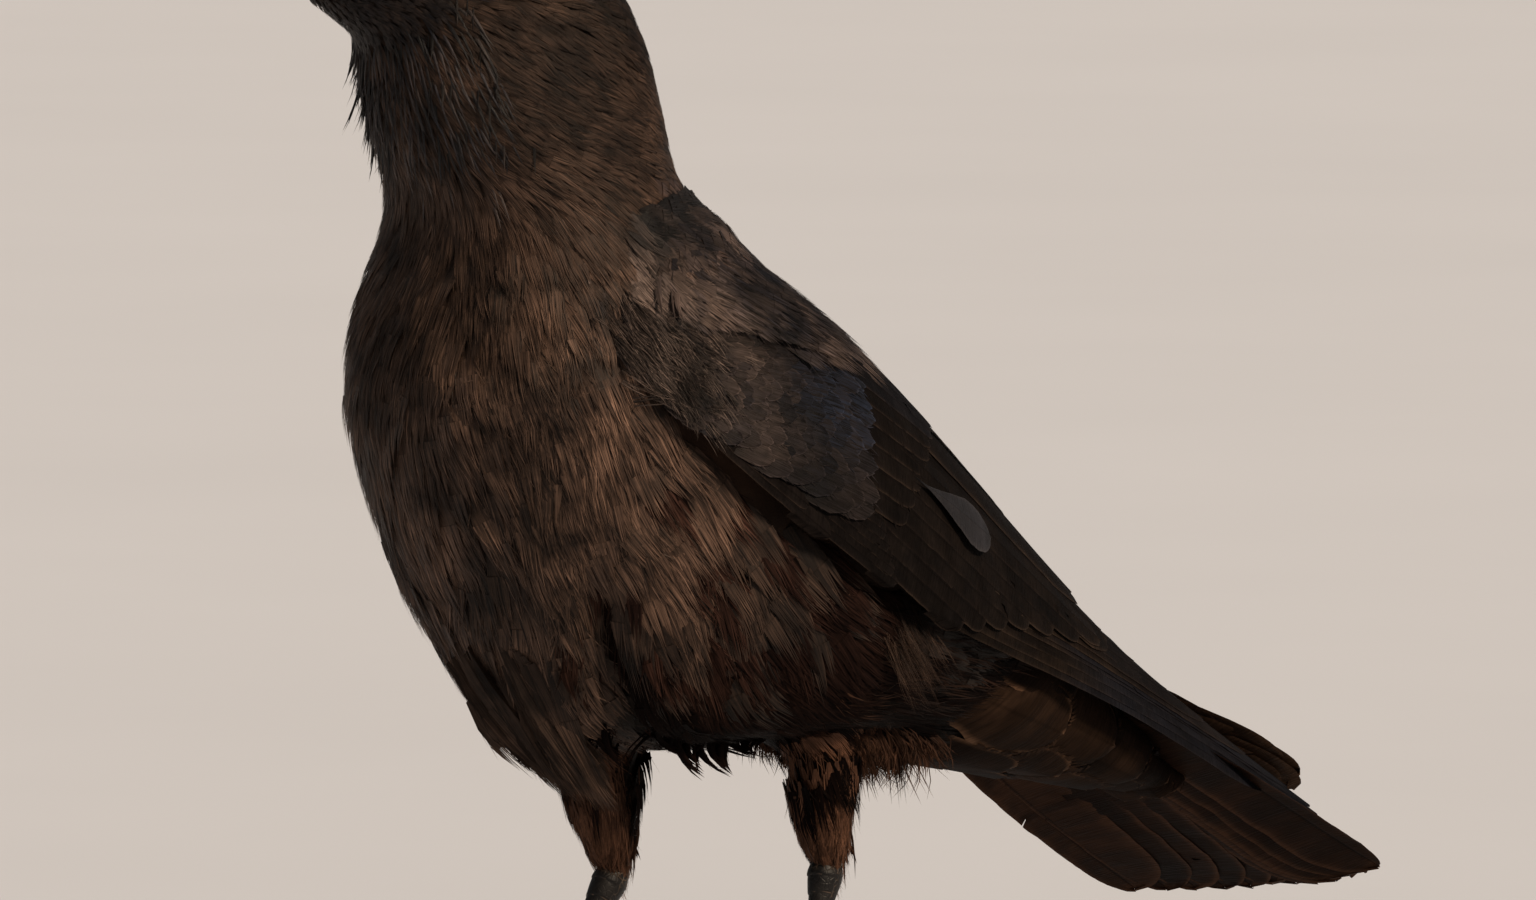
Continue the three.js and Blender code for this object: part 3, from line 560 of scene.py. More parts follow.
class Field:
    """A smooth random field through space, about -1 to 1, with a grain in cm."""

    def __init__(self, grain, seed):
        self.grain, self.values = grain, np.random.default_rng(seed).uniform(-1, 1, (24, 24, 24))

    def __call__(self, p):
        q = p / self.grain
        i = np.floor(q).astype(int)
        f = q - i
        f = f * f * (3 - 2 * f)
        out = 0
        for k in np.ndindex(2, 2, 2):
            w = 1
            for m in range(3):
                w = w * (f[..., m] if k[m] else 1 - f[..., m])
            out = out + w * self.values[(i[..., 0] + k[0]) % 24, (i[..., 1] + k[1]) % 24, (i[..., 2] + k[2]) % 24]
        return out * 1.5


outer, quads, outer_n, relax = union_form()


def to_line(p, line):
    """Distance of points from a polyline and the share along it."""
    best, share = np.full(len(p), 1e9), np.zeros(len(p))
    line = np.asarray(line, float)
    for i in range(len(line) - 1):
        a, d = line[i], line[i + 1] - line[i]
        f = clamp(((p - a) @ d) / (d @ d))
        r = np.linalg.norm(p - a - f[:, None] * d, axis=1)
        m = r < best
        best[m], share[m] = r[m], ((i + f) / (len(line) - 1))[m]
    return best, share


PARTINGS = [  # lines where the plumage parts, with depth and width in cm, for the left side and its mirror image
    ([(3.9, -9.6, 14.4), (3.55, -9.2, 13.0), (3.1, -8.5, 11.5), (2.55, -7.2, 9.7), (2.0, -6.0, 9.0)], 0.85, 0.5),
    ([(2.6, -11.4, 15.2), (2.3, -10.7, 13.6), (1.6, -9.8, 12.2)], 0.16, 0.35),
    ([(5.0, -7.0, 14.6), (4.6, -6.6, 12.6), (4.0, -6.0, 10.6)], 0.18, 0.4),
]
lump_a, lump_b = Field(2.1, 31), Field(0.95, 32)
push = 0.10 * lump_a(outer) + 0.045 * lump_b(outer)
push = push * (0.25 + 0.75 * smooth((24.0 - outer[:, 2]) / 3.5)) * smooth((28.0 - outer[:, 2]) / 1.5) * smooth((outer[:, 2] - 8.0) / 2.0)
push = push - 0.42 * smooth((-outer_n[:, 2] - 0.3) / 0.4) * smooth((10.2 - outer[:, 2]) / 1.0) * smooth((2.5 - outer[:, 1]) / 2.0) * smooth((outer[:, 2] - 7.6) / 0.6)
for mirror in (1, -1):
    # the hollow between neck and shoulder
    push = push - 0.3 * np.exp(-((np.linalg.norm(outer - np.array([3.45 * mirror, -6.15, 23.4]), axis=1) / 1.15) ** 2))
for line, deep, wide in PARTINGS:
    for mirror in (1, -1):
        dist, share = to_line(outer, np.array(line) * np.array([mirror, 1, 1]))
        push = push - (1.0 if mirror > 0 else 0.5) * deep * np.exp(-((dist / wide) ** 2)) * smooth(share * 4 + 0.15)
outer = outer + outer_n * push[:, None]
corner_n = np.cross(outer[quads[:, 2]] - outer[quads[:, 0]], outer[quads[:, 3]] - outer[quads[:, 1]])
outer_n = np.zeros_like(outer)
for k in range(4):
    np.add.at(outer_n, quads[:, k], corner_n)
outer_n = unit(relax(unit(outer_n), 2))
bvh = BVHTree.FromPolygons([tuple(c) for c in outer], [tuple(int(i) for i in q) for q in quads])
face_n = unit(outer_n[quads].mean(1))


def snap(points):
    """Nearest points of the outer form with smooth normals and signed heights above it."""
    q, n, f = np.empty_like(points), np.empty_like(points), np.empty(len(points), int)
    for i, p in enumerate(points):
        loc, _, k, _ = bvh.find_nearest(Vector(p))
        q[i] = loc
        f[i] = k
    corners = outer[quads[f]]
    w = 1 / (np.linalg.norm(corners - q[:, None], axis=2) + 1e-3)
    n = unit((outer_n[quads[f]] * w[..., None]).sum(1))
    return q, n, dot(points - q, n)[:, 0]


# body, head and leg surfaces sampled for their stations: kind 0 body, 1 head, 2 and 3 legs
def stations():
    ang = np.linspace(0, 2 * np.pi, 72, endpoint=False)
    rows = []
    ts = np.linspace(0.2, 14, 139)
    T, A = np.meshgrid(ts, ang, indexing="ij")
    p = body_point(T, A)
    d = unit(body_point(T + 0.05, A) - body_point(T - 0.05, A))
    rows.append((p, d, T, A, np.zeros_like(T)))
    ts = np.linspace(0.0, 7, 71)
    T, A = np.meshgrid(ts, ang, indexing="ij")
    p = head_point(T, A)
    d = unit(head_point(T + 0.05, A) - head_point(T - 0.05, A))
    rows.append((p, d, T, A, np.full_like(T, 1)))
    for k, leg in enumerate(LEGS.values()):
        r, c, dd, _, _ = leg_tube(leg, sides=24, steps=30)
        T, A = np.meshgrid(np.linspace(0, 1, 31), np.linspace(0, 2 * np.pi, 24, endpoint=False), indexing="ij")
        d = unit(np.gradient(r, axis=0))
        rows.append((r, d, T, A, np.full_like(T, 2 + k)))
    p = np.vstack([r[0].reshape(-1, 3) for r in rows])
    d = np.vstack([r[1].reshape(-1, 3) for r in rows])
    t, a, k = [np.concatenate([r[i].ravel() for r in rows]) for i in (2, 3, 4)]
    return p, d, t, a, k


st_p, st_d, st_t, st_a, st_k = stations()
kd = KDTree(len(st_p))
for i, p in enumerate(st_p):
    kd.insert(Vector(p), i)
kd.balance()
vt, va, vk, vflow = np.empty(len(outer)), np.empty(len(outer)), np.empty(len(outer)), np.empty((len(outer), 3))
for i, p in enumerate(outer):
    near = kd.find_n(Vector(p), 6)
    j = near[0][1]
    vt[i], va[i], vk[i] = st_t[j], st_a[j], st_k[j]
    idx = [m[1] for m in near]
    w = np.array([1 / (m[2] + 0.05) for m in near])[:, None]
    vflow[i] = (st_d[idx] * w).sum(0)
vflow = unit(vflow - outer_n * dot(vflow, outer_n))
vflow = relax(vflow, 14)
vflow = unit(vflow - outer_n * dot(vflow, outer_n))
belly = -np.cos(va)  # 1 along the front and belly, -1 along the back


def coat_depth(t, a, k, p):
    front = (1 - np.cos(a)) / 2
    body = lerp(table(t, [(0, 0.1), (2, 0.16), (4, 0.22), (6, 0.28), (9, 0.3), (14, 0.28)]), table(t, [(0, 0.1), (2, 0.16), (3, 0.2), (5, 0.32), (7, 0.42), (10, 0.45), (12, 0.4), (14, 0.3)]), front)
    head = table(t, [(0, 0.05), (1, 0.06), (3, 0.09), (7, 0.13)])
    leg = table(t, [(0, 0.4), (0.7, 0.24), (0.92, 0.14), (1, 0.1)])
    return np.where(k == 0, body, np.where(k == 1, head, leg))


depth = relax(coat_depth(vt, va, vk, outer)[:, None], 8)[:, 0]
skin_co = outer - outer_n * depth[:, None]
print("outer form", len(outer), "vertices")


# ------------------------------------------------------------------ materials
def material(name):
    m = bpy.data.materials.new(name)
    m.use_nodes = True
    nt = m.node_tree
    for n in list(nt.nodes):
        nt.nodes.remove(n)
    out = nt.nodes.new("ShaderNodeOutputMaterial")
    bsdf = nt.nodes.new("ShaderNodeBsdfPrincipled")
    nt.links.new(bsdf.outputs[0], out.inputs["Surface"])
    return m, nt, bsdf


def node(nt, kind, **props):
    n = nt.nodes.new(kind)
    for k, v in props.items():
        setattr(n, k, v)
    return n


def socket(nt, target, value):
    if isinstance(value, bpy.types.NodeSocket):
        nt.links.new(value, target)
    else:
        target.default_value = value


def calc(nt, op, a, b=0.0, c=0.0, clamp_it=False):
    n = node(nt, "ShaderNodeMath", operation=op, use_clamp=clamp_it)
    for i, v in enumerate((a, b, c)):
        if i < len(n.inputs):
            socket(nt, n.inputs[i], v)
    return n.outputs[0]


def vec(nt, x, y, z):
    n = node(nt, "ShaderNodeCombineXYZ")
    for i, v in enumerate((x, y, z)):
        socket(nt, n.inputs[i], v)
    return n.outputs[0]


def noise(nt, vector, scale=1.0, detail=3.0, rough=0.55, distortion=0.0):
    n = node(nt, "ShaderNodeTexNoise")
    socket(nt, n.inputs["Vector"], vector)
    n.inputs["Scale"].default_value = scale
    n.inputs["Detail"].default_value = detail
    n.inputs["Roughness"].default_value = rough
    n.inputs["Distortion"].default_value = distortion
    return n.outputs["Fac"]


def ramp(nt, value, lo, hi, a=0.0, b=1.0):
    n = node(nt, "ShaderNodeMapRange", clamp=True)
    socket(nt, n.inputs["Value"], value)
    n.inputs["From Min"].default_value, n.inputs["From Max"].default_value = lo, hi
    n.inputs["To Min"].default_value, n.inputs["To Max"].default_value = a, b
    return n.outputs[0]


def mix(nt, fac, a, b, blend="MIX"):
    n = node(nt, "ShaderNodeMix", data_type="RGBA", blend_type=blend)
    n.clamp_factor = True
    socket(nt, n.inputs[0], fac)
    socket(nt, n.inputs[6], a if isinstance(a, bpy.types.NodeSocket) else (*a, 1.0))
    socket(nt, n.inputs[7], b if isinstance(b, bpy.types.NodeSocket) else (*b, 1.0))
    return n.outputs[2]


def bump(nt, bsdf, height, distance, strength=1.0):
    n = node(nt, "ShaderNodeBump")
    n.inputs["Strength"].default_value = strength
    n.inputs["Distance"].default_value = distance
    socket(nt, n.inputs["Height"], height)
    nt.links.new(n.outputs[0], bsdf.inputs["Normal"])
    return n


def feather_inputs(nt):
    at = node(nt, "ShaderNodeAttribute", attribute_name="fx")
    sep = node(nt, "ShaderNodeSeparateColor")
    nt.links.new(at.outputs["Color"], sep.inputs[0])
    uv = node(nt, "ShaderNodeUVMap", uv_map="vane")
    s2 = node(nt, "ShaderNodeSeparateXYZ")
    nt.links.new(uv.outputs[0], s2.inputs[0])
    return sep.outputs[0], sep.outputs[1], sep.outputs[2], at.outputs["Alpha"], s2.outputs[0], s2.outputs[1]


BLACK = (0.0085, 0.0056, 0.0043)
BROWN = (0.134, 0.080, 0.056)
# a blue sheen, painted into the base colour where fx marks it: painted sheen
BLUE_SHEEN = (0.011, 0.017, 0.033)


def plumage_material(name, dark=BLACK, warm=BROWN, rough=0.5, sheen=0.012, spec=0.1, mottle=1.0, blue_sheen=BLUE_SHEEN, tones=(0.14, 1.86)):
    m, nt, b = material(name)
    rnd, warmth, gloss, tone, u, v = feather_inputs(nt)
    where = node(nt, "ShaderNodeTexCoord").outputs["Object"]
    patchy = noise(nt, where, 55.0, 4.0, 0.6)
    streak = noise(nt, vec(nt, calc(nt, "MULTIPLY", u, 24.0), calc(nt, "MULTIPLY", v, 1.8), calc(nt, "MULTIPLY", rnd, 37.0)), 1.0, 4.0, 0.65)
    w = calc(nt, "MULTIPLY", warmth, ramp(nt, streak, 0.38, 0.66, 0.35, 1.35))
    w = calc(nt, "MULTIPLY", w, ramp(nt, patchy, 0.36, 0.64, 1 - 0.7 * mottle, 1 + 0.75 * mottle))
    w = calc(nt, "ADD", w, calc(nt, "MULTIPLY", calc(nt, "SUBTRACT", rnd, 0.5), 0.16), clamp_it=True)
    col = mix(nt, w, dark, warm)
    # painted sheen: the colour turns towards a blue sheen where fx marks it
    col = mix(nt, calc(nt, "MULTIPLY", gloss, ramp(nt, streak, 0.4, 0.62)), col, blue_sheen)
    shade = calc(nt, "MULTIPLY", ramp(nt, tone, 0.0, 1.0, *tones), ramp(nt, v, 0.1, 0.75, 0.6, 1.1))
    col = mix(nt, 1.0, col, mix_grey(nt, shade), "MULTIPLY")
    nt.links.new(col, b.inputs["Base Color"])
    nt.links.new(ramp(nt, streak, 0.3, 0.7, rough - 0.1, rough + 0.14), b.inputs["Roughness"])
    b.inputs["Specular IOR Level"].default_value = spec
    b.inputs["Sheen Weight"].default_value = sheen
    b.inputs["Sheen Roughness"].default_value = 0.45
    b.inputs["Sheen Tint"].default_value = (0.75, 0.55, 0.42, 1)
    bump(nt, b, streak, 0.0003, 0.6)
    return m


def mix_grey(nt, value):
    n = node(nt, "ShaderNodeCombineColor")
    for i in range(3):
        socket(nt, n.inputs[i], value)
    return n.outputs[0]


def flight_material(name, dark=(0.0017, 0.00145, 0.0014), warm=(0.0165, 0.0112, 0.0082), rough=0.56, spec=0.012, barbs=1.0, shaft=0.75):
    m, nt, b = material(name)
    rnd, warmth, gloss, tone, u, v = feather_inputs(nt)
    across = calc(nt, "ABSOLUTE", calc(nt, "SUBTRACT", calc(nt, "MULTIPLY", u, 2.0), 1.0))
    # v is the feather's length in units of 20 cm, so that the barbs have one size everywhere
    lines = noise(nt, vec(nt, calc(nt, "MULTIPLY", across, 1.3), calc(nt, "MULTIPLY", v, 330.0), calc(nt, "MULTIPLY", rnd, 91.0)), 1.0, 3.0, 0.6)
    bands = noise(nt, vec(nt, calc(nt, "MULTIPLY", across, 0.8), calc(nt, "MULTIPLY", v, 26.0), calc(nt, "MULTIPLY", rnd, 53.0)), 1.0, 3.0, 0.6)
    edge = ramp(nt, across, 0.72, 1.0)
    w = calc(nt, "MULTIPLY", warmth, ramp(nt, bands, 0.35, 0.65, 0.5, 1.3))
    w = calc(nt, "ADD", w, calc(nt, "MULTIPLY", edge, calc(nt, "MULTIPLY", warmth, 0.45)), clamp_it=True)
    col = mix(nt, w, dark, warm)
    # painted sheen: the colour turns towards a blue-grey sheen where fx marks it
    col = mix(nt, calc(nt, "MULTIPLY", gloss, ramp(nt, bands, 0.3, 0.7, 0.55, 1.0)), col, (0.0046, 0.0049, 0.0068))
    shade = calc(nt, "MULTIPLY", ramp(nt, lines, 0.3, 0.7, 0.72, 1.3), ramp(nt, tone, 0.0, 1.0, 0.55, 1.9))
    shade = calc(nt, "MULTIPLY", shade, ramp(nt, across, 0.02, 0.07, shaft, 1.0))
    col = mix(nt, 1.0, col, mix_grey(nt, shade), "MULTIPLY")
    nt.links.new(col, b.inputs["Base Color"])
    nt.links.new(ramp(nt, bands, 0.3, 0.7, rough - 0.06, rough + 0.12), b.inputs["Roughness"])
    b.inputs["Specular IOR Level"].default_value = spec
    b.inputs["Sheen Weight"].default_value = 0.004
    b.inputs["Sheen Roughness"].default_value = 0.4
    b.inputs["Sheen Tint"].default_value = (0.6, 0.66, 0.8, 1)
    bump(nt, b, calc(nt, "ADD", lines, calc(nt, "MULTIPLY", bands, 0.6)), 0.0004 * barbs, 0.6)
    return m


def skin_material(name="under_down", marked=False):
    """Dark down; marked takes over the coat's warmth and darkness, with the painted shade in the parting, from the fx
    attribute.
    """
    m, nt, b = material(name)
    where = node(nt, "ShaderNodeTexCoord").outputs["Object"]
    n1 = noise(nt, where, 220.0, 4.0, 0.65)
    n2 = noise(nt, where, 40.0, 3.0, 0.5)
    col = mix(nt, ramp(nt, n2, 0.35, 0.65), (0.008, 0.0062, 0.0055), (0.02, 0.012, 0.008))
    col = mix(nt, ramp(nt, n1, 0.5, 0.8, 0.0, 0.5), col, (0.035, 0.022, 0.014))
    if marked:
        _, warmth, _, tone, _, _ = feather_inputs(nt)
        col = mix(nt, calc(nt, "MULTIPLY", warmth, ramp(nt, n2, 0.35, 0.65, 0.5, 1.0)), col, (0.08, 0.038, 0.022))
        col = mix(nt, 1.0, col, mix_grey(nt, ramp(nt, tone, 0.0, 1.0, 0.4, 1.05)), "MULTIPLY")
    nt.links.new(col, b.inputs["Base Color"])
    b.inputs["Roughness"].default_value = 0.8
    b.inputs["Specular IOR Level"].default_value = 0.1
    bump(nt, b, n1, 0.0008, 0.6)
    return m


def horn_material(name="horn", dark=(0.0042, 0.0041, 0.0045), pale=(0.017, 0.0158, 0.0162), rough=0.36, stretch=(1.0, 0.12, 1.0)):
    m, nt, b = material(name)
    where = node(nt, "ShaderNodeTexCoord").outputs["Object"]
    mp = node(nt, "ShaderNodeMapping")
    nt.links.new(where, mp.inputs[0])
    mp.inputs["Scale"].default_value = stretch
    grain = noise(nt, mp.outputs[0], 900.0, 4.0, 0.6, 0.4)
    wear = noise(nt, where, 120.0, 4.0, 0.6)
    fine = noise(nt, where, 1800.0, 3.0, 0.6)
    col = mix(nt, calc(nt, "MULTIPLY", ramp(nt, grain, 0.45, 0.75), ramp(nt, wear, 0.4, 0.7)), dark, pale)
    nt.links.new(col, b.inputs["Base Color"])
    nt.links.new(ramp(nt, wear, 0.3, 0.7, rough - 0.08, rough + 0.16), b.inputs["Roughness"])
    b.inputs["Specular IOR Level"].default_value = 0.22
    bump(nt, b, calc(nt, "ADD", grain, calc(nt, "MULTIPLY", fine, 0.4)), 0.00022, 0.5)
    return m


def leg_material(name="leg_scales"):
    # fx: r random of a scale, g height within the scale (0 at its edge), b pale skin
    m, nt, b = material(name)
    at = node(nt, "ShaderNodeAttribute", attribute_name="fx")
    sep = node(nt, "ShaderNodeSeparateColor")
    nt.links.new(at.outputs["Color"], sep.inputs[0])
    where = node(nt, "ShaderNodeTexCoord").outputs["Object"]
    n1 = noise(nt, where, 700.0, 4.0, 0.65)
    n2 = noise(nt, where, 180.0, 3.0, 0.6)
    cells = node(nt, "ShaderNodeTexVoronoi", feature="DISTANCE_TO_EDGE")
    nt.links.new(where, cells.inputs["Vector"])
    cells.inputs["Scale"].default_value = 620.0
    pebble = ramp(nt, cells.outputs["Distance"], 0.0, 0.12)
    col = mix(nt, ramp(nt, n2, 0.35, 0.7), (0.0027, 0.0024, 0.0025), (0.0072, 0.006, 0.0055))
    col = mix(nt, calc(nt, "MULTIPLY", ramp(nt, sep.outputs[1], 0.30, 0.0), ramp(nt, n1, 0.35, 0.6, 0.4, 1.0)), col, (0.11, 0.075, 0.055))
    col = mix(nt, calc(nt, "MULTIPLY", sep.outputs[2], calc(nt, "SUBTRACT", 1.0, pebble)), col, (0.12, 0.085, 0.06))
    nt.links.new(col, b.inputs["Base Color"])
    nt.links.new(ramp(nt, n2, 0.3, 0.7, 0.36, 0.58), b.inputs["Roughness"])
    b.inputs["Specular IOR Level"].default_value = 0.2
    bump(nt, b, calc(nt, "ADD", calc(nt, "MULTIPLY", pebble, calc(nt, "ADD", 0.25, sep.outputs[2])), calc(nt, "MULTIPLY", n1, 0.5)), 0.00025, 0.7)
    return m


def eye_material(centre, axis):
    m, nt, b = material("eye_surface")
    geo = node(nt, "ShaderNodeNewGeometry")
    sub = node(nt, "ShaderNodeVectorMath", operation="SUBTRACT")
    tc = node(nt, "ShaderNodeTexCoord").outputs["Object"]
    nt.links.new(tc, sub.inputs[0])
    sub.inputs[1].default_value = tuple(centre)
    nrm = node(nt, "ShaderNodeVectorMath", operation="NORMALIZE")
    nt.links.new(sub.outputs[0], nrm.inputs[0])
    d = node(nt, "ShaderNodeVectorMath", operation="DOT_PRODUCT")
    nt.links.new(nrm.outputs[0], d.inputs[0])
    d.inputs[1].default_value = tuple(axis)
    c = d.outputs["Value"]
    ray = noise(nt, tc, 2600.0, 3.0, 0.6)
    iris = mix(nt, ramp(nt, ray, 0.35, 0.65), (0.0028, 0.0018, 0.0013), (0.0065, 0.0038, 0.0025))
    col = mix(nt, ramp(nt, c, 0.915, 0.925), iris, (0.0012, 0.0012, 0.0014))
    col = mix(nt, ramp(nt, c, 0.66, 0.60), col, (0.004, 0.0035, 0.0035))
    nt.links.new(col, b.inputs["Base Color"])
    b.inputs["Roughness"].default_value = 0.12
    b.inputs["Specular IOR Level"].default_value = 0.05
    b.inputs["Coat Weight"].default_value = 0.22
    b.inputs["Coat Roughness"].default_value = 0.03
    bump(nt, b, ray, 0.00002, 0.2)
    return m


MAT = dict(
    body=plumage_material("body_plumage"),
    hackle=plumage_material("throat_hackles", dark=(0.0042, 0.0032, 0.0029), warm=(0.15, 0.105, 0.085), rough=0.38, sheen=0.01, spec=0.2),
    head=plumage_material("head_plumage", rough=0.46, sheen=0.01, spec=0.14),
    belly=plumage_material("belly_plumage", dark=(0.0060, 0.0031, 0.0027), warm=(0.068, 0.033, 0.0235), sheen=0.0, spec=0.02, mottle=0.7),
    thigh=plumage_material("thigh_plumage", dark=(0.013, 0.0066, 0.0045), warm=(0.155, 0.074, 0.044), rough=0.55, sheen=0.01, spec=0.05, mottle=0.3, tones=(0.45, 1.45)),
    flight=flight_material("wing_feathers"),
    tail=flight_material("tail_feathers", rough=0.55, spec=0.015, dark=(0.0020, 0.00135, 0.00115), warm=(0.023, 0.0112, 0.0064), shaft=0.4),
    # the small coverts take a stronger painted blue sheen
    covert=plumage_material("small_coverts", dark=(0.0042, 0.0034, 0.0033), warm=(0.085, 0.060, 0.049), rough=0.46, sheen=0.01, spec=0.06, blue_sheen=(0.020, 0.027, 0.048)),
    # a lighter copy of the plumage: a painted highlight on the top of the shoulder
    shoulder=plumage_material("shoulder_plumage", dark=(0.0065, 0.0053, 0.005), warm=(0.175, 0.128, 0.108), rough=0.5, sheen=0.02, spec=0.1),
    under=flight_material("undertail_coverts", dark=(0.0021, 0.00135, 0.00115), warm=(0.047, 0.026, 0.0155), rough=0.62, spec=0.01),
    stray=flight_material("loose_feather", dark=(0.011, 0.0105, 0.013), warm=(0.04, 0.034, 0.032), rough=0.5, spec=0.12),
    # the far wing's flight feathers: a lighter, browner copy that paints light onto their shaded side
    worn_painted_light=flight_material("worn_wing_feathers_painted_light", dark=(0.0045, 0.0032, 0.0026), warm=(0.06, 0.032, 0.018), rough=0.55, spec=0.03),
    skin=skin_material(),
    hide=skin_material("body_skin", True),
    horn=horn_material(),
    claw=horn_material("claw_horn", rough=0.36),
    leg=leg_material(),
)

# ------------------------------------------------------------------ skin
skin = make_mesh("skin", skin_co, quads)
skin.data.materials.append(MAT["hide"])
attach(skin, "root")
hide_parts("head", "neck", "trunk", "thigh_left", "thigh_right")
# ------------------------------------------------------------------ coat of body, head and thighs
swirl, swirl2, clump, patch, tint = Field(3.4, 1), Field(1.3, 2), Field(1.7, 3), Field(2.6, 4), Field(5.0, 5)


def node_tree(names):
    """A BVH of CAD nodes in working centimetres."""
    co, faces = [], []
    for name in names:
        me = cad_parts[name].data
        base = len(co)
        co += [tuple(c) for c in np.array([v.co for v in me.vertices]) * 100 - np.array([0, SHIFT_Y, 0])]
        faces += [tuple(base + i for i in p.vertices) for p in me.polygons]
    return BVHTree.FromPolygons(co, faces)


wing_tree = node_tree(["wing_left", "wing_right"])


def under_wing(p, n, reach=2.0):
    """How far along n a wing lies over each point, or a large number."""
    out = np.full(len(p), 99.0)
    for i in range(len(p)):
        hit = wing_tree.ray_cast(Vector(p[i] - n[i] * 0.4), Vector(n[i]), reach + 0.4)
        if hit[0] is not None:
            out[i] = hit[3] - 0.4
    return out


def spacing_of(t, a, k):
    body = table(t, [(0, 0.17), (1.5, 0.19), (2.5, 0.22), (3.5, 0.26), (5, 0.33), (6, 0.4), (8, 0.42), (14, 0.44)])
    head = table(t, [(0, 0.12), (1, 0.15), (3, 0.19), (7, 0.22)])
    leg = table(t, [(0, 0.25), (0.6, 0.21), (1, 0.15)])
    return np.where(k == 0, body, np.where(k == 1, head, leg))


def sample_roots(seed, per=7.0):
    r = np.random.default_rng(seed)
    corners = outer[quads]
    area = np.linalg.norm(np.cross(corners[:, 2] - corners[:, 0], corners[:, 3] - corners[:, 1]), axis=1) / 2
    near = quads[:, 0]
    sp = spacing_of(vt[near], va[near], vk[near])
    w = area / sp**2
    count = int(w.sum() * per)
    f = r.choice(len(quads), count, p=w / w.sum())
    u, v = r.random(count), r.random(count)
    ww = np.stack([(1 - u) * (1 - v), u * (1 - v), u * v, (1 - u) * v], -1)
    p = (corners[f] * ww[..., None]).sum(1)
    vert = quads[f, ww.argmax(1)]
    sp = sp[f]
    tree = KDTree(count)
    for i in range(count):
        tree.insert(Vector(p[i]), i)
    tree.balance()
    alive = np.ones(count, bool)
    keep = []
    for i in range(count):
        if alive[i]:
            keep.append(i)
            for _, j, _ in tree.find_range(Vector(p[i]), sp[i]):
                alive[j] = False
    keep = np.array(keep)
    n = unit((outer_n[quads[f[keep]]] * ww[keep][..., None]).sum(1))
    return p[keep], n, vert[keep], sp[keep]


vert_tree = KDTree(len(outer))
for i, p in enumerate(outer):
    vert_tree.insert(Vector(p), i)
vert_tree.balance()


def nearest_vert(p):
    return np.array([vert_tree.find(Vector(q))[1] for q in p])


def turn_about(v, n, a):
    """Turns vectors v about their normals n by angles a."""
    c, s = np.cos(a)[:, None], np.sin(a)[:, None]
    return v * c + np.cross(n, v) * s


def eye_place(side, extra=0.0):
    h = head_half(EYE_Y, EYE_Z)
    return turned(np.array([side * (h - EYE_DEPTH + extra), EYE_Y, EYE_Z]))


def head_half(y, z):
    best = 0.0
    for i in range(71):
        yy, top, low, w = along(HEAD, np.array(i / 70 * 7.0))
        if abs(yy - y) < 0.08:
            k = float(clamp((z - (top + low) / 2) / ((top - low) / 2), -1, 1))
            best = max(best, float(w) * math.sqrt(1 - k * k) * (1 - 0.1 * k))
    return best


def bend_flow(p, n, flow, t, a, k):
    """The lie of the feathers: the flow from head to tail, with its own turns at the throat, ear, shoulder and thigh."""
    yaw = 0.14 * swirl(p) + 0.1 * swirl2(p)
    back = table(t, [(0, 0.5), (3.5, 0.55), (5, 0.32), (6.5, 0.14), (9, 0.05), (14, 0)]) * (k == 0) + 0.35 * (k == 1) * (t > 3)
    yaw = yaw + back * np.sin(a) * smooth(np.abs(np.sin(a)) * 2)
    low = smooth((t - 5.0) / 2.5) * (1 - np.cos(a)) / 2 * (k == 0)
    yaw = yaw + low * (0.3 * swirl(p * 1.1 + 40) + 0.28 * swirl2(p + 9))
    f = turn_about(flow, n, yaw)
    down = np.array([0, 0.1, -1.0]) - n * (n @ np.array([0, 0.1, -1.0]))[:, None]
    # gravity takes the lower breast and belly feathers down a little
    g = 0.22 * smooth((t - 6) / 2) * smooth((11 - t) / 2) * (k == 0) * smooth((1 - np.cos(a)) / 2 - 0.2)
    return unit(f + down * g[:, None])


def run(p, n, flow_at, length, hl=0.0, hm=None, ht=None):
    """The curve of a feather of given length over the outer form. hl, hm, ht: heights of root, middle and tip above it."""
    d = flow_at(p, n)
    q1, m1, _ = snap(p + d * (length * 0.5)[:, None])
    d1 = unit(lerp(d, flow_at(q1, m1), 0.6))
    d1 = unit(d1 - m1 * dot(d1, m1))
    q2, m2, _ = snap(q1 + d1 * (length * 0.5)[:, None])
    # long feathers leave a strongly curved form instead of hugging it
    return (p + n * hl[:, None], q1 + m1 * hm[:, None], q2 + m2 * ht[:, None], n, unit(lerp(n, m1, 0.8)), unit(lerp(m1, m2, 0.8)))


def flow_field(p, n):
    v = nearest_vert(p)
    f = vflow[v] - n * dot(vflow[v], n)
    return bend_flow(p, n, unit(f), vt[v], va[v], vk[v])


soft = {
    "neck": [soft_template(13, 0.5, 0.12, 0.1, 100 + i, rows=2, side=0, ragged=0.2, segs=2) for i in range(8)],
    "breast": [soft_template(22, 0.5, 0.25, 0.12, 200 + i, rows=2, side=2, ragged=0.25, segs=2) for i in range(10)],
    "belly": [soft_template(24, 0.42, 0.45, 0.25, 300 + i, rows=2, side=3, ragged=0.35, segs=3) for i in range(10)],
    "back": [soft_template(18, 0.7, 0.0, 0.06, 400 + i, rows=2, side=1, ragged=0.1, segs=2) for i in range(8)],
    "head": [soft_template(6, 0.45, 0.15, 0.15, 500 + i, rows=1, side=0, ragged=0.2, segs=2) for i in range(8)],
    "thigh": [soft_template(18, 0.35, 0.4, 0.4, 600 + i, rows=2, side=3, ragged=0.4, segs=3) for i in range(8)],
}
hair = [hair_template(7, 700 + i, 1.0) for i in range(8)]
spikes = [spike_template(800 + i, stray=6) for i in range(8)]

root_p, root_n, root_v, root_sp = sample_roots(21)
root_t, root_a, root_k = vt[root_v], va[root_v], vk[root_v]
front = (1 - np.cos(root_a)) / 2
cover = under_wing(root_p, root_n)
hidden = (root_k == 0) & (cover < 1.9)
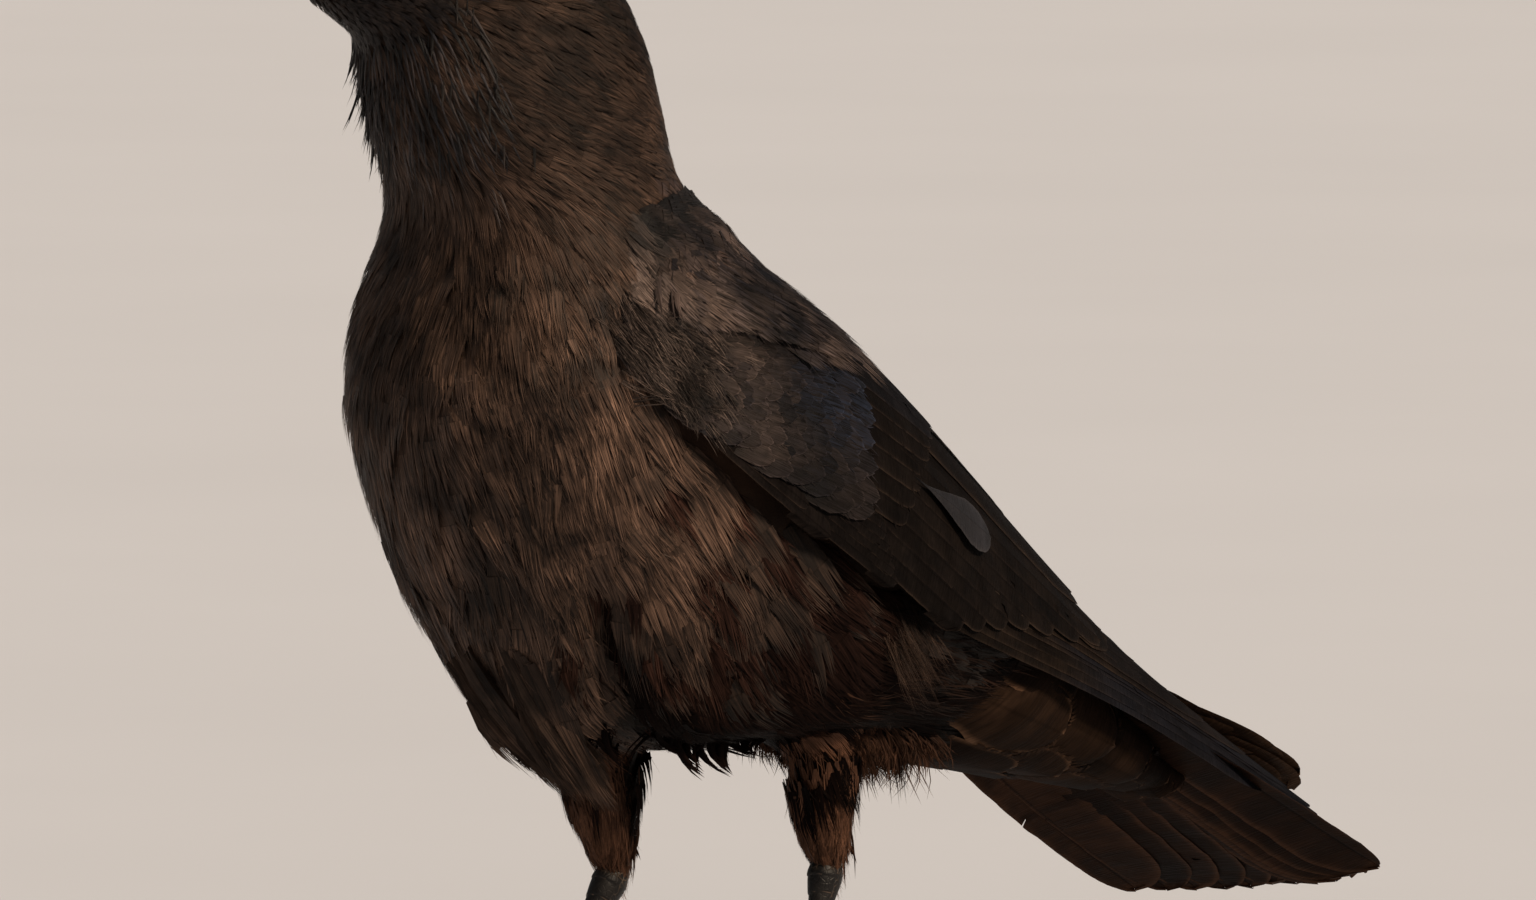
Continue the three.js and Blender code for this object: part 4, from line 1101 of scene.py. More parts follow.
# no feathers on the eyes or inside the bill
for side in (1, -1):
    e = eye_place(side, 0.5)
    hidden |= np.linalg.norm(root_p - e, axis=1) < 0.62
bill_at = turned(np.array([0, BILL_BASE_Y - 0.2, BILL_Z]))
hidden |= np.linalg.norm((root_p - bill_at) * np.array([1, 1, 0.85]), axis=1) < 0.75
hidden |= (root_k == 0) & (root_t > 13.2)
keep = ~hidden
root_p, root_n, root_v, root_sp, root_t, root_a, root_k, front = [x[keep] for x in (root_p, root_n, root_v, root_sp, root_t, root_a, root_k, front)]
print("roots", len(root_p))


def warmth_of(p, t, a, k):
    f = (1 - np.cos(a)) / 2
    w = table(t, [(0, 0.15), (2, 0.18), (3.5, 0.24), (5, 0.38), (6.5, 0.48), (8, 0.42), (9.2, 0.22), (11, 0.14), (14, 0.12)])
    w = w * (0.55 + 0.45 * f) + 0.13 * tint(p) + 0.1 * patch(p)
    w = np.where(k == 1, 0.12 + 0.06 * patch(p), w)
    w = np.where(k >= 2, 0.75 + 0.15 * patch(p), w)
    return clamp(w, 0.03, 1)


def parting_shade_at(p):
    """Painted shade in the parting in front of the leg: darker the deeper a feather lies in it."""
    out = np.zeros(len(p))
    for mirror in (1, -1):
        dist, share = to_line(p, np.array(PARTINGS[0][0]) * np.array([mirror, 1, 1]))
        out = np.maximum(out, (1.0 if mirror > 0 else 0.4) * np.exp(-((dist / (0.6 + 0.7 * share)) ** 2)) * smooth(share * 2.5))
    return out


def shade_of(p, t, a, k):
    """Darker plumage on flanks, belly, nape and mantle."""
    f = (1 - np.cos(a)) / 2
    fore = smooth((a / np.pi - 0.78) / 0.1) * smooth((1.7 - a / np.pi) / 0.2)
    low = 0.8 * smooth((t - 7.1 - 0.9 * fore) / 1.9)
    back = 0.35 * smooth((0.62 - f) / 0.3) * smooth((5 - t) / 2)
    chin = 0.25 * smooth((1.8 - t) / 1.5)
    return np.where(k == 0, np.maximum(np.maximum(low, back), chin), np.where(k == 1, 0.52, 0.2)) + 0.1 * patch(p + 20)


# the skin carries the coat's markings: warmth, darkness and the painted shade in the parting
at_leg = np.maximum(*[smooth((2.3 - to_line(outer, np.array([leg["ankle"], leg["hip"]]))[0]) / 0.5) for leg in LEGS.values()]) * smooth((9.8 - outer[:, 2]) / 0.8)
marks = np.stack([0.5 + 0 * vt, clamp(lerp(warmth_of(outer, vt, va, vk), 0.8, at_leg)), 0 * vt, 1 - clamp(lerp(parting_shade_at(outer) + shade_of(outer, vt, va, vk), 0.15, at_leg))], -1)
skin.data.attributes.new("fx", "FLOAT_COLOR", "POINT").data.foreach_set("color", marks.astype(np.float32).ravel())


def lay(pile, kind, sel, length, half, lift, seed=0, fx_painted_sheen=0.0, camber=0.35, sink=0.0, vary=0.0):
    """Lays one kind of feather at the chosen roots; their fx carries warmth, a painted sheen and a darkness that
    includes the painted shade of the parting.
    """
    r = np.random.default_rng(900 + seed)
    idx = np.flatnonzero(sel)
    if not len(idx):
        return
    tpls = kind
    pick = r.integers(0, len(tpls), len(idx))
    for j, tpl in enumerate(tpls):
        m = idx[pick == j]
        if not len(m):
            continue
        c = len(m)
        p, n, v = root_p[m], root_n[m], root_v[m]
        L = length[m] * r.uniform(0.82, 1.15, c)
        H = half[m] * r.uniform(0.85, 1.15, c)
        dep = depth[v]
        hm = -0.3 * dep + 0.02 + lift[m] * 0.35 * r.uniform(0.4, 1.3, c)
        ht = 0.0 + lift[m] * r.uniform(0.2, 1.3, c) - 0.12 * dep
        spin = r.normal(0, 0.11, c)
        fall = np.array([0, 0, -1.0])
        flow = lambda q, w: unit(turn_about(flow_field(q, w), w, spin) + sink * (fall - w * dot(w, fall)))
        curve = run(p, n, flow, L, -0.9 * dep, hm, ht)
        bake = np.stack([0.01 + 0.98 * (root_a[m] / (2 * np.pi)), 0.01 + 0.98 * root_t[m] / np.where(root_k[m] == 0, 14.0, np.where(root_k[m] == 1, 7.0, 1.0))], -1)
        fx = np.stack([r.random(c), warmth_of(p, root_t[m], root_a[m], root_k[m]) * r.uniform(0.75, 1.25, c), clamp(np.broadcast_to(fx_painted_sheen, root_t.shape)[m] * r.uniform(0.3, 1.5, c)), clamp(parting_shade_at(p) + shade_of(p, root_t[m], root_a[m], root_k[m]) + vary * (r.random(c) < 0.5))], -1)
        lay_feathers(pile, tpl, *curve, H, r.normal(0, 1, c) * np.where(root_t[m] < 4, 0.08, 0.14), camber / np.maximum(H, 0.1) * 0.3, bake, clamp(fx))


body_len = table(root_t, [(0, 0.8), (1, 1.0), (2, 1.25), (3, 1.5), (4, 1.9), (5, 2.4), (6, 2.8), (7, 3.0), (9, 3.2), (12, 3.3), (14, 3.2)])
body_half = table(root_t, [(0, 0.11), (1, 0.13), (2, 0.155), (3, 0.19), (4, 0.27), (5, 0.42), (6, 0.5), (7, 0.54), (9, 0.58), (14, 0.6)])
body_lift = table(root_t, [(0, 0.02), (2, 0.025), (4, 0.05), (6, 0.12), (8, 0.16), (14, 0.15)]) * (0.4 + 0.6 * front) * (1 + 0.7 * clump(root_p))
is_body = root_k == 0
neck_zone = is_body & (root_t < 3.7)
back_zone = is_body & ~neck_zone & (front < 0.42)
breast_zone = is_body & ~neck_zone & ~back_zone & (root_t + 0.5 * patch(root_p * 1.7) + np.random.default_rng(8).normal(0, 0.5, len(root_t)) < 7.6 + 1.3 * smooth((root_a / np.pi - 0.78) / 0.1) * smooth((1.7 - root_a / np.pi) / 0.2))
belly_zone = is_body & ~neck_zone & ~back_zone & ~breast_zone

neck_l, neck_r = Pile(), Pile()
lay(neck_l, soft["neck"], neck_zone & (root_a < np.pi), body_len, body_half, body_lift, seed=1)
lay(neck_r, soft["neck"], neck_zone & (root_a >= np.pi), body_len, body_half, body_lift, seed=2)
neck_l.build("neck_feathers_left", MAT["body"], "body_feathers")
neck_r.build("neck_feathers_right", MAT["body"], "body_feathers")
back = Pile()
lay(back, soft["back"], back_zone, body_len, body_half * 1.15, body_lift * 0.6, seed=3, fx_painted_sheen=0.35 * smooth((7.5 - root_t) / 1.5))
back.build("back_feathers", MAT["body"], "body_feathers")
for name, half_of, s in (("left", root_a < np.pi, 4), ("right", root_a >= np.pi, 5)):
    pile = Pile()
    lay(pile, soft["breast"], breast_zone & half_of, body_len, body_half, body_lift, seed=s)
    pile.build("breast_feathers_" + name, MAT["body"], "body_feathers")
    pile = Pile()
    lay(pile, soft["belly"], belly_zone & half_of, body_len, body_half, body_lift * 1.3, seed=s + 10)
    pile.build("belly_feathers_" + name, MAT["belly"], "body_feathers")
head_len = table(root_t, [(0, 0.3), (1, 0.36), (2, 0.5), (4, 0.75), (7, 0.95)])
head_half_w = table(root_t, [(0, 0.07), (1, 0.09), (3, 0.13), (7, 0.17)])
pile = Pile()
lay(pile, soft["head"], root_k == 1, head_len, head_half_w, 0.02 + 0 * root_t, seed=6, fx_painted_sheen=0.2)
pile.build("head_feathers", MAT["head"], "body_feathers")
for k, name in ((2, "left"), (3, "right")):
    pile = Pile()
    lay(pile, soft["thigh"], root_k == k, table(root_t, [(0, 2.4), (0.5, 2.0), (0.8, 1.5), (1, 0.9)]), table(root_t, [(0, 0.38), (0.6, 0.26), (1, 0.15)]), 0.16 + 0 * root_t, seed=6 + k)
    pile.build("thigh_feathers_" + name, MAT["thigh"], "body_feathers")


# ------------------------------------------------------------------ hackles, tufts and fringes
def spot(t, a):
    """Points and normals of the outer form at body stations."""
    q, n, _ = snap(body_point(np.asarray(t, float), np.asarray(a, float)))
    return q, n


def strands(pile, tpls, p0, p1, p2, face, half, fx, r, roll=0.25, bake=(0.5, 0.5)):
    """Feathers that leave the form, along given curves, their broad side turned to face."""
    c = len(p0)
    face = np.broadcast_to(np.asarray(face, float), (c, 3))
    n = unit(face + 0.25 * r.normal(0, 1, (c, 3)))
    pick = r.integers(0, len(tpls), c)
    at = np.broadcast_to(np.asarray(bake, float), (c, 2)) + r.uniform(-0.02, 0.02, (c, 2))
    for j, tpl in enumerate(tpls):
        m = np.flatnonzero(pick == j)
        if len(m):
            lay_feathers(pile, tpl, p0[m], p1[m], p2[m], n[m], n[m], n[m], half[m], r.normal(0, roll, len(m)), np.zeros(len(m)), at[m], clamp(fx[m]))


# fx for loose feathers: random, warmth, painted sheen and darkness
def shades(r, c, warmth, gloss=0.0, dark=0.0):
    return np.stack([r.random(c), clamp(warmth * r.uniform(0.6, 1.4, c)), clamp(gloss * r.uniform(0.4, 1.4, c)), np.full(c, dark)], -1)


LEFTWARD = np.array([0.69, -0.72, 0.1])
BACKWARD = np.array([0.72, 0.69, 0.0])
around = np.abs(root_a / np.pi - 1)

# throat: drawn-out glossy hackles that stand off at the front
hackles = Pile()
throat = (is_body & (root_t > 0.5) & (root_t < 2.9) & (around < 0.36 - 0.05 * np.abs(root_t - 1.5))) | ((root_k == 1) & (root_t > 2.2) & (around < 0.2 + 0.03 * root_t))
throat_front = np.exp(-((around / 0.16) ** 2)) * throat
narrow = [spike_template(820 + i, stray=3, rows=4, power=0.9) for i in range(8)]
pick_some = np.random.default_rng(61).random(len(root_p))
lay(hackles, narrow, throat & (pick_some < 0.75), 1.35 + 0 * root_t, 0.058 + 0 * root_t, 0.05 + 0.2 * throat_front + 0.12 * (pick_some < 0.2), seed=31, sink=0.9, fx_painted_sheen=0.5, camber=0.0, vary=0.8)
lay(hackles, narrow, throat & (pick_some > 0.55) & (around < 0.12), 1.1 + 0 * root_t, 0.06 + 0 * root_t, 0.45 + 0 * root_t, seed=32, sink=0.9, fx_painted_sheen=0.5, camber=0.0, vary=0.8)
lay(hackles, narrow, is_body & (root_t > 2.6) & (root_t < 3.6) & (around < 0.2) & (pick_some < 0.3), 1.3 + 0 * root_t, 0.07 + 0 * root_t, 0.06 + 0 * root_t, seed=33, sink=0.9, fx_painted_sheen=0.3, camber=0.0)
hackles.build("throat_hackles", MAT["hackle"], "body_feathers")

# cheeks: fine hair-like ear coverts that end in an even arc
ears = Pile()
fine = [soft_template(7, 0.25, 0.3, 0.15, 640 + i, rows=1, side=0, ragged=0.25, segs=2) for i in range(6)]
ear_zone = (root_k == 1) & (root_t > 1.2) & (root_t < 5.2) & (front > 0.3)
lay(ears, fine, ear_zone, table(root_t, [(1, 0.55), (3, 0.9), (5, 1.05)]), 0.06 + 0 * root_t, table(root_t, [(1, 0.03), (3, 0.07), (5, 0.12)]), seed=34, fx_painted_sheen=0.45)
ears.build("ear_coverts", MAT["head"], "body_feathers")

# the longest hackles stand off the throat's outline
r = np.random.default_rng(70)
long_hackles = Pile()
for side, c in ((-1, 90), (1, 34)):
    p0, n0 = spot(r.uniform(0.9, 3.1, c), np.pi * (1 - side * r.uniform(0.06, 0.36, c)))
    long = r.uniform(0.6, 1.3 if side < 0 else 1.0, c)[:, None]
    out = (r.uniform(0.12, 0.55, c) if side < 0 else r.uniform(0.03, 0.2, c))[:, None]
    down = np.array([0, 0, -1.0]) - n0 * n0[:, 2:3] * -1.0
    p2 = p0 + unit(down) * long * 0.95 + n0 * long * out
    p1 = (p0 + p2) / 2 - n0 * long * 0.06
    strands(long_hackles, narrow, p0 - n0 * 0.03, p1, p2, unit(n0 + LEFTWARD * 0.5), r.uniform(0.035, 0.065, c), shades(r, c, 0.08, 0.12, 0.2) + np.array([0, 0, 0, 1.0]) * (0.55 * (r.random(c) < 0.75))[:, None], r, 0.4)
long_hackles.build("throat_spikes", MAT["hackle"], "body_feathers")
fine_hair = [hair_template(6, 720 + i, 0.6) for i in range(6)]

# lower breast, belly and vent
r = np.random.default_rng(71)
fringe = Pile()
c = 170
f = r.random(c)
p0, n0 = spot(r.uniform(7.7, 8.8, c), np.pi * (1.1 - 0.18 * f + r.normal(0, 0.02, c)))
tip = lerp(np.array([0.05, -7.7, 8.75]), np.array([1.35, -6.7, 7.6]), f[:, None]) + np.stack([r.normal(0, 0.15, c), r.normal(0, 0.2, c), r.uniform(-0.1, 1.0, c)], -1)
p1 = (p0 + tip) / 2 + n0 * r.uniform(0.02, 0.18, c)[:, None]
flap = Pile()
strands(flap, soft["breast"], p0, p1, tip, LEFTWARD + np.array([0, -0.3, -0.2]), r.uniform(0.2, 0.36, c), shades(r, c, 0.4, 0.0, 0.1) + np.array([0, 0, 0, 0.4]) * f[:, None], r, 0.3)
flap.build("breast_flap", MAT["body"], "body_feathers")
for side in (1, -1):
    c = 120
    f = r.random(c)
    p0, n0 = spot(lerp(8.7, 9.9, f) + r.normal(0, 0.1, c), np.pi * (1 - side * (0.05 + 0.11 * r.random(c))))
    long = r.uniform(0.08, 0.32, c)[:, None]
    p1 = p0 + long * 0.5 * unit(np.array([0.1 * side, 0.8, -0.45]) + 0.25 * r.normal(0, 1, (c, 3)))
    p2 = p1 + long * 0.5 * unit(np.array([0.1 * side, 0.45, -1.0]) + 0.35 * r.normal(0, 1, (c, 3)))
    strands(fringe, hair, p0, p1, p2, LEFTWARD, r.uniform(0.14, 0.24, c), shades(r, c, 0.25, 0.0, 0.4), r, 0.4)
# wet curved locks under the belly, darkened with painted shade
for t0, a0, long, back in ((8.85, 0.825, 0.95, 0.35), (9.1, 0.79, 0.5, 0.25), (9.2, 0.79, 1.0, 0.5), (9.45, 0.785, 0.9, 0.45), (9.02, 0.85, 0.45, 0.3), (9.7, 0.80, 0.5, 0.5), (8.75, 0.87, 0.8, 0.1)):
    c = 16
    root, n0 = spot(t0 + r.normal(0, 0.12, c), np.pi * (a0 + 0.05 + r.normal(0, 0.012, c)))
    centre = root.mean(0)
    end = centre + np.array([0, 0, -long]) + BACKWARD * back
    p2 = end + 0.05 * r.normal(0, 1, (c, 3)) + (r.random(c)[:, None] ** 2) * (centre - end) * 0.4
    p1 = lerp(root, p2, 0.55) - BACKWARD * 0.16 + 0.02 * r.normal(0, 1, (c, 3))
    strands(fringe, narrow, root, p1, p2, LEFTWARD, r.uniform(0.05, 0.1, c), shades(r, c, 0.1, 0.0, 0.6), r, 0.5)
fringe.build("belly_fringe", MAT["belly"], "body_feathers")

vent = Pile()
for side, c in ((1, 330), (-1, 120)):
    f = r.random(c)
    p0, n0 = spot(lerp(10.15, 10.95, f), np.pi * (1 - side * r.uniform(0.03, 0.25, c)))
    long = r.uniform(0.7, 2.2 if side > 0 else 1.5, c)[:, None] * (0.3 + 0.7 * np.exp(-(((f - 0.6) / 0.3) ** 2)))[:, None]
    p1 = p0 + long * 0.5 * unit(np.array([0.1 * side, 0.4, -0.8]) + 0.28 * r.normal(0, 1, (c, 3)))
    p2 = p1 + long * 0.5 * unit(np.array([0.0 * side, 0.15, -1.0]) + 0.3 * r.normal(0, 1, (c, 3)))
    strands(vent, hair, p0, p1, p2, LEFTWARD, r.uniform(0.16, 0.32, c), shades(r, c, 0.3, 0.0, 0.3), r, 0.4)
for side in (1, -1):
    zone = is_body & (root_t > 8.9) & (root_t < 10.8) & (np.abs(around - 0.46) < 0.1) & ((root_a < np.pi) == (side > 0))
    lay(vent, hair, zone, 2.4 + 0 * root_t, 0.34 + 0 * root_t, 0.3 + 0 * root_t, seed=36 + side)
vent.build("vent_down", MAT["thigh"], "body_feathers")

# a pale loose tuft at the rear of each flank
tuft = Pile()
for side, c in ((1, 90), (-1, 90)):
    f = r.random(c)
    p0, n0 = spot(8.95 + 0.3 * f + r.normal(0, 0.1, c), np.where(side > 0, 1, -1) * np.pi * (0.425 + 0.035 * f + r.normal(0, 0.018, c)) + (0 if side > 0 else 2 * np.pi))
    long = r.uniform(0.9, 2.6, c)[:, None]
    p1 = p0 + n0 * r.uniform(0.02, 0.14, (c, 1)) + long * 0.5 * unit(np.array([0.0, 0.35, -1.0]) + 0.16 * r.normal(0, 1, (c, 3)))
    p2 = p1 + long * 0.5 * unit(np.array([0.0, 0.75, -1.0]) + 0.16 * r.normal(0, 1, (c, 3))) + n0 * 0.05
    strands(tuft, fine_hair, p0 - n0 * 0.1, p1, p2, n0, r.uniform(0.035, 0.09, c), shades(r, c, 0.42, 0.0, 0.1) + np.array([0, 0, 0, 1.0]) * (0.85 * r.random(c))[:, None], r, 0.4)
tuft.build("flank_tufts", MAT["body"], "body_feathers")

# thighs: loose pointed tips, longest at the back and over the joint
for leg, k, name in ((LEGS["left"], 2, "left"), (LEGS["right"], 3, "right")):
    shag = Pile()
    zone = root_k == k
    sel = np.flatnonzero(zone & (root_t > 0.3))
    c = len(sel)
    p0, n0 = root_p[sel], root_n[sel]
    ankle = np.array(leg["ankle"])
    down = unit(ankle + np.array([0, 0.35, -0.5]) - p0)
    long = lerp(1.5, 1.15, root_t[sel])[:, None] * r.uniform(0.6, 1.2, (c, 1))
    rear = clamp(n0[:, 1:2])
    p1 = p0 + long * 0.5 * unit(down + n0 * 0.12 + np.array([0, 0, -0.12]))
    p2 = p1 + long * 0.5 * unit(down + n0 * (0.12 + 0.25 * rear) + 0.15 * r.normal(0, 1, (c, 3)))
    n0 = unit(n0 - down * dot(n0, down))
    pick = r.random(c)
    for tpls, m, half in ((soft["thigh"], pick < 0.45, 0.13), (hair, pick >= 0.45, 0.15)):
        j = np.flatnonzero(m)
        for i, tpl in enumerate(tpls):
            q = j[i :: len(tpls)]
            if len(q):
                lay_feathers(shag, tpl, p0[q], p1[q], p2[q], n0[q], n0[q], n0[q], half * r.uniform(0.7, 1.2, len(q)), r.normal(0, 0.3, len(q)), np.zeros(len(q)), np.stack([root_a[q.clip(0)] / 7 + 0.05, 0.3 + 0 * q], -1) * 0 + 0.5, shades(r, len(q), 0.6))
    c = 20
    tip = ankle + np.array([0.05, 0.75, 0.25]) + r.normal(0, 0.1, (c, 3)) * np.array([1, 1, 2.6])
    p0 = ankle + np.array([0, 0.2, 1.3]) + r.normal(0, 0.22, (c, 3))
    strands(shag, narrow, p0, lerp(p0, tip, 0.5) + np.array([0, 0.12, 0.0]), tip, LEFTWARD, r.uniform(0.05, 0.09, c), shades(r, c, 0.2), r, 0.5)
    shag.build("thigh_shag_" + name, MAT["thigh"], "body_feathers")
# ------------------------------------------------------------------ vanes: the large feathers of wings and tail
COLUMNS = np.array([-1, -0.86, -0.64, -0.4, -0.17, -0.05, 0, 0.05, 0.17, 0.4, 0.64, 0.86, 1.0])
FEW_COLUMNS = np.array([-1, -0.82, -0.5, -0.2, 0, 0.2, 0.5, 0.82, 1.0])


def atlas(cell, uv):
    i, n = cell
    m = math.ceil(math.sqrt(n))
    return (np.array([i % m, i // m]) + 0.04 + 0.92 * clamp(uv)) / m


def vane(pile, surf, length, low, top, rows=44, cols=COLUMNS, slant=0.05, tip=0.2, base=0.4, splits=(), ridge=0.018, cup=(0.03, 0.03), fringe=0, seed=0, fx=(0.5, 0.3, 0.3), rim=0.0, cell=(0, 1), patch=None, wobble=0.02, ragged=0.0, square=2.0, streak=0.25, swell=0.16, gloss_from=-1.0):
    """One feather. surf(s, x, h) gives points for s along, x across in cm (negative is the outer, lower side) and h
    above. Its fx carries random, warmth and a painted sheen that starts part way along the feather.
    """
    r = np.random.default_rng(seed)
    s = 1 - (1 - np.linspace(0, 1, rows + 1)) ** 1.12
    x = cols
    S = s[:, None] + slant * np.abs(x)[None] * (1 - s[:, None] ** 5) * smooth(s[:, None] * 8)
    prof = (base + (1 - base) * smooth(s / swell)) * np.sqrt(np.maximum(0, 1 - clamp((s - (1 - tip)) / tip) ** square))
    S = S + ragged * r.uniform(-1, 0.3, (1, len(x))) * smooth((s[:, None] - 0.8) / 0.2)
    X = x[None] * np.where(x < 0, low, top)[None] * prof[:, None]
    soft_noise = np.convolve(r.normal(0, 1, rows + 5), [0.25, 0.5, 0.25], "same")[2:-2][:, None]
    X = X * (1 + wobble * soft_noise * (np.abs(x)[None] > 0.8))
    H = ridge * np.exp(-((x / 0.06) ** 2)) - np.where(x < 0, cup[0], cup[1]) * np.abs(x) ** 1.6
    H = H[None] + 0.004 * r.normal(0, 1, (rows + 1, 1)) * (np.abs(x)[None] > 0.3) + 0 * S
    cut = np.zeros((rows, len(x) - 1), bool)
    for i, side, x0 in splits:
        i = int(clamp(i, 0, 0.97) * rows)
        m = (x * side > x0)
        g = (0.5 - 0.16 * clamp((np.abs(x) - x0) / (1 - x0))) * (s[i + 1] - s[i])
        S[i, m] += g[m]
        S[i + 1, m] -= g[m]
        mid = (x[1:] + x[:-1]) / 2
        cut[i] |= mid * side > x0
    co = surf(S, X, H)
    n = len(x)
    q = grid_faces(rows + 1, n)[~cut.ravel()]
    tri = np.vstack([q[:, [0, 1, 2]], q[:, [0, 2, 3]]])
    uv = np.stack([np.broadcast_to(x * 0.5 + 0.5, S.shape), S], -1).reshape(-1, 2)
    at_edge = clamp(np.maximum((np.abs(x)[None] - 0.84) / 0.16, (s[:, None] - 0.975) / 0.025) * smooth(s[:, None] * 3))
    tone = clamp(0.5 + streak * np.convolve(r.normal(0, 1, rows + 7), [0.2, 0.3, 0.3, 0.2], "same")[3:-3][:, None] + 0 * S + rim * at_edge)
    warm = clamp(fx[1] + rim * 0.8 * at_edge + 0 * S)
    eff = np.stack([np.full_like(S, fx[0]), warm, fx[2] * smooth((S - gloss_from) / 0.16), tone], -1).reshape(-1, 4)
    co = co.reshape(-1, 3)
    if fringe:
        k = fringe
        fs = r.uniform(0.35, 1.0, k) ** 0.8
        sg = np.where(r.random(k) < 0.5, -1.0, 1.0)
        p_at = np.interp(fs, s, prof)
        w = np.where(sg < 0, low, top) * p_at
        sl = slant * (1 - fs**5)
        a = np.stack([fs + sl - 0.012, fs + sl + 0.012, fs + sl + r.uniform(0.03, 0.07, k) * 3.0 / length], -1)
        b = np.stack([sg * w * 0.93, sg * w * 0.9, sg * (w + r.uniform(0.04, 0.16, k))], -1)
        hh = np.stack([-0.0 * w, -0.0 * w, -0.02 + 0 * w], -1) - 0.5 * np.where(sg < 0, cup[0], cup[1])[:, None]
        extra = surf(a, b, hh).reshape(-1, 3)
        base_i = len(co)
        co = np.vstack([co, extra])
        tri = np.vstack([tri, base_i + np.arange(3 * k).reshape(k, 3)])
        uv = np.vstack([uv, np.stack([0.5 + 0.5 * sg[:, None] + 0 * a, a], -1).reshape(-1, 2)])
        eff = np.vstack([eff, np.tile([fx[0], fx[1], fx[2], 0.7], (3 * k, 1))])
    if patch is None:
        bake = atlas(cell, uv)
    else:
        bake = np.array(patch) + (clamp(uv) - 0.5) * 0.003
    vuv = uv.copy()
    vuv[:, 1] *= length / 20.0
    pile.add(co[None], tri, vuv[None], clamp(bake, 0.001, 0.999)[None], clamp(eff)[None])


# ------------------------------------------------------------------ wings
def distance_tables():
    us, vs, dd = ACROSS
    width = dd[:, -1]
    grid = np.linspace(0, 1, 61)
    inv = np.array([np.interp(grid * w, d, vs) for d, w in zip(dd, width)])
    return us, width, inv, dd


WU, WW, WINV, WD = distance_tables()


def grid_at(tab, u, j, m):
    i = clamp(u) * 100
    i0 = np.minimum(np.floor(i).astype(int), 99)
    j0 = np.minimum(np.floor(j).astype(int), m - 2)
    fi, fj = i - i0, j - j0
    return (tab[i0, j0] * (1 - fi) + tab[i0 + 1, j0] * fi) * (1 - fj) + (tab[i0, j0 + 1] * (1 - fi) + tab[i0 + 1, j0 + 1] * fi) * fj


def v_of(u, d):
    """The wing's v for a distance d from its lower edge, going on evenly past the edges."""
    u, d = np.broadcast_arrays(np.asarray(u, float), np.asarray(d, float))
    w = np.interp(u, WU, WW)
    x = d / w
    xc = clamp(x)
    v = grid_at(WINV, u, xc * 60, 61)
    first = np.interp(u, WU, WINV[:, 1] * 60)
    last = np.interp(u, WU, (1 - WINV[:, -2]) * 60)
    return v + np.minimum(0, x) * first + np.maximum(0, x - 1) * last


def d_of(u, v):
    u, v = np.broadcast_arrays(np.asarray(u, float), np.asarray(v, float))
    return grid_at(WD, u, clamp(v) * 60, 61)


def wing_surface(side, u, d, h):
    over = np.maximum(0, u - 1)[..., None]
    p, n, _ = wing_frame(clamp(u), v_of(clamp(u), d), side)
    if over.max() > 0:
        e = wing_point(np.ones_like(u), v_of(np.ones_like(u), d), side) - wing_point(np.full_like(u, 0.98), v_of(np.full_like(u, 0.98), d), side)
        p = p + e * over / 0.02
    return p + n * h[..., None]


def low_at_top(u, x):
    """How much of its height a feather keeps: the layers lie close to the form along the upper edge."""
    return 1 - smooth((x - 0.45) / 0.4) * lerp(0.85, 0.32, smooth((u - 0.2) / 0.15))


def wing_feather(pile, side, root, end, h0, h1, low, top, ease=1.0, bow=0.0, bow_at=1.0, tilt=0.05, **more):
    """root and end are (u, d) of the shaft; h0 and h1 its heights; bow in cm swings its middle towards the top edge."""
    (u0, d0), (u1, d1) = root, end
    a, b = wing_surface(1, np.array([u0, u1]), np.array([d0, d1]), np.zeros(2))
    length = float(np.linalg.norm(a - b))

    def surf(S, X, H):
        u = u0 + (u1 - u0) * S
        d = d0 + (d1 - d0) * np.abs(S) ** ease + bow * np.sin(np.pi * clamp(S) ** bow_at) + X
        return wing_surface(side, u, d, (h0 + (h1 - h0) * S) * low_at_top(u, d / np.interp(clamp(u), WU, WW)) + H - tilt * X)

    vane(pile, surf, length, low, top, **more)


PRIMARY_TIPS = [(0.70, 2.5), (0.745, 2.15), (0.79, 1.85), (0.845, 1.6), (0.90, 1.35), (0.955, 1.1), (0.99, 0.8), (1.0, 0.5), (0.985, 0.28), (0.90, 0.2)]
SECONDARY_TIPS = [(0.44, 0.012), (0.472, 0.05), (0.505, 0.095), (0.542, 0.145), (0.585, 0.19), (0.632, 0.25), (0.672, 0.33)]
TERTIAL_TIPS = [(0.697, 0.47), (0.665, 0.64), (0.585, 0.84)]


def nicks(r, n, inner=0.35):
    return [(r.uniform(0.35, 0.96), r.choice([-1, 1]), r.uniform(inner, 0.8)) for _ in range(n)]


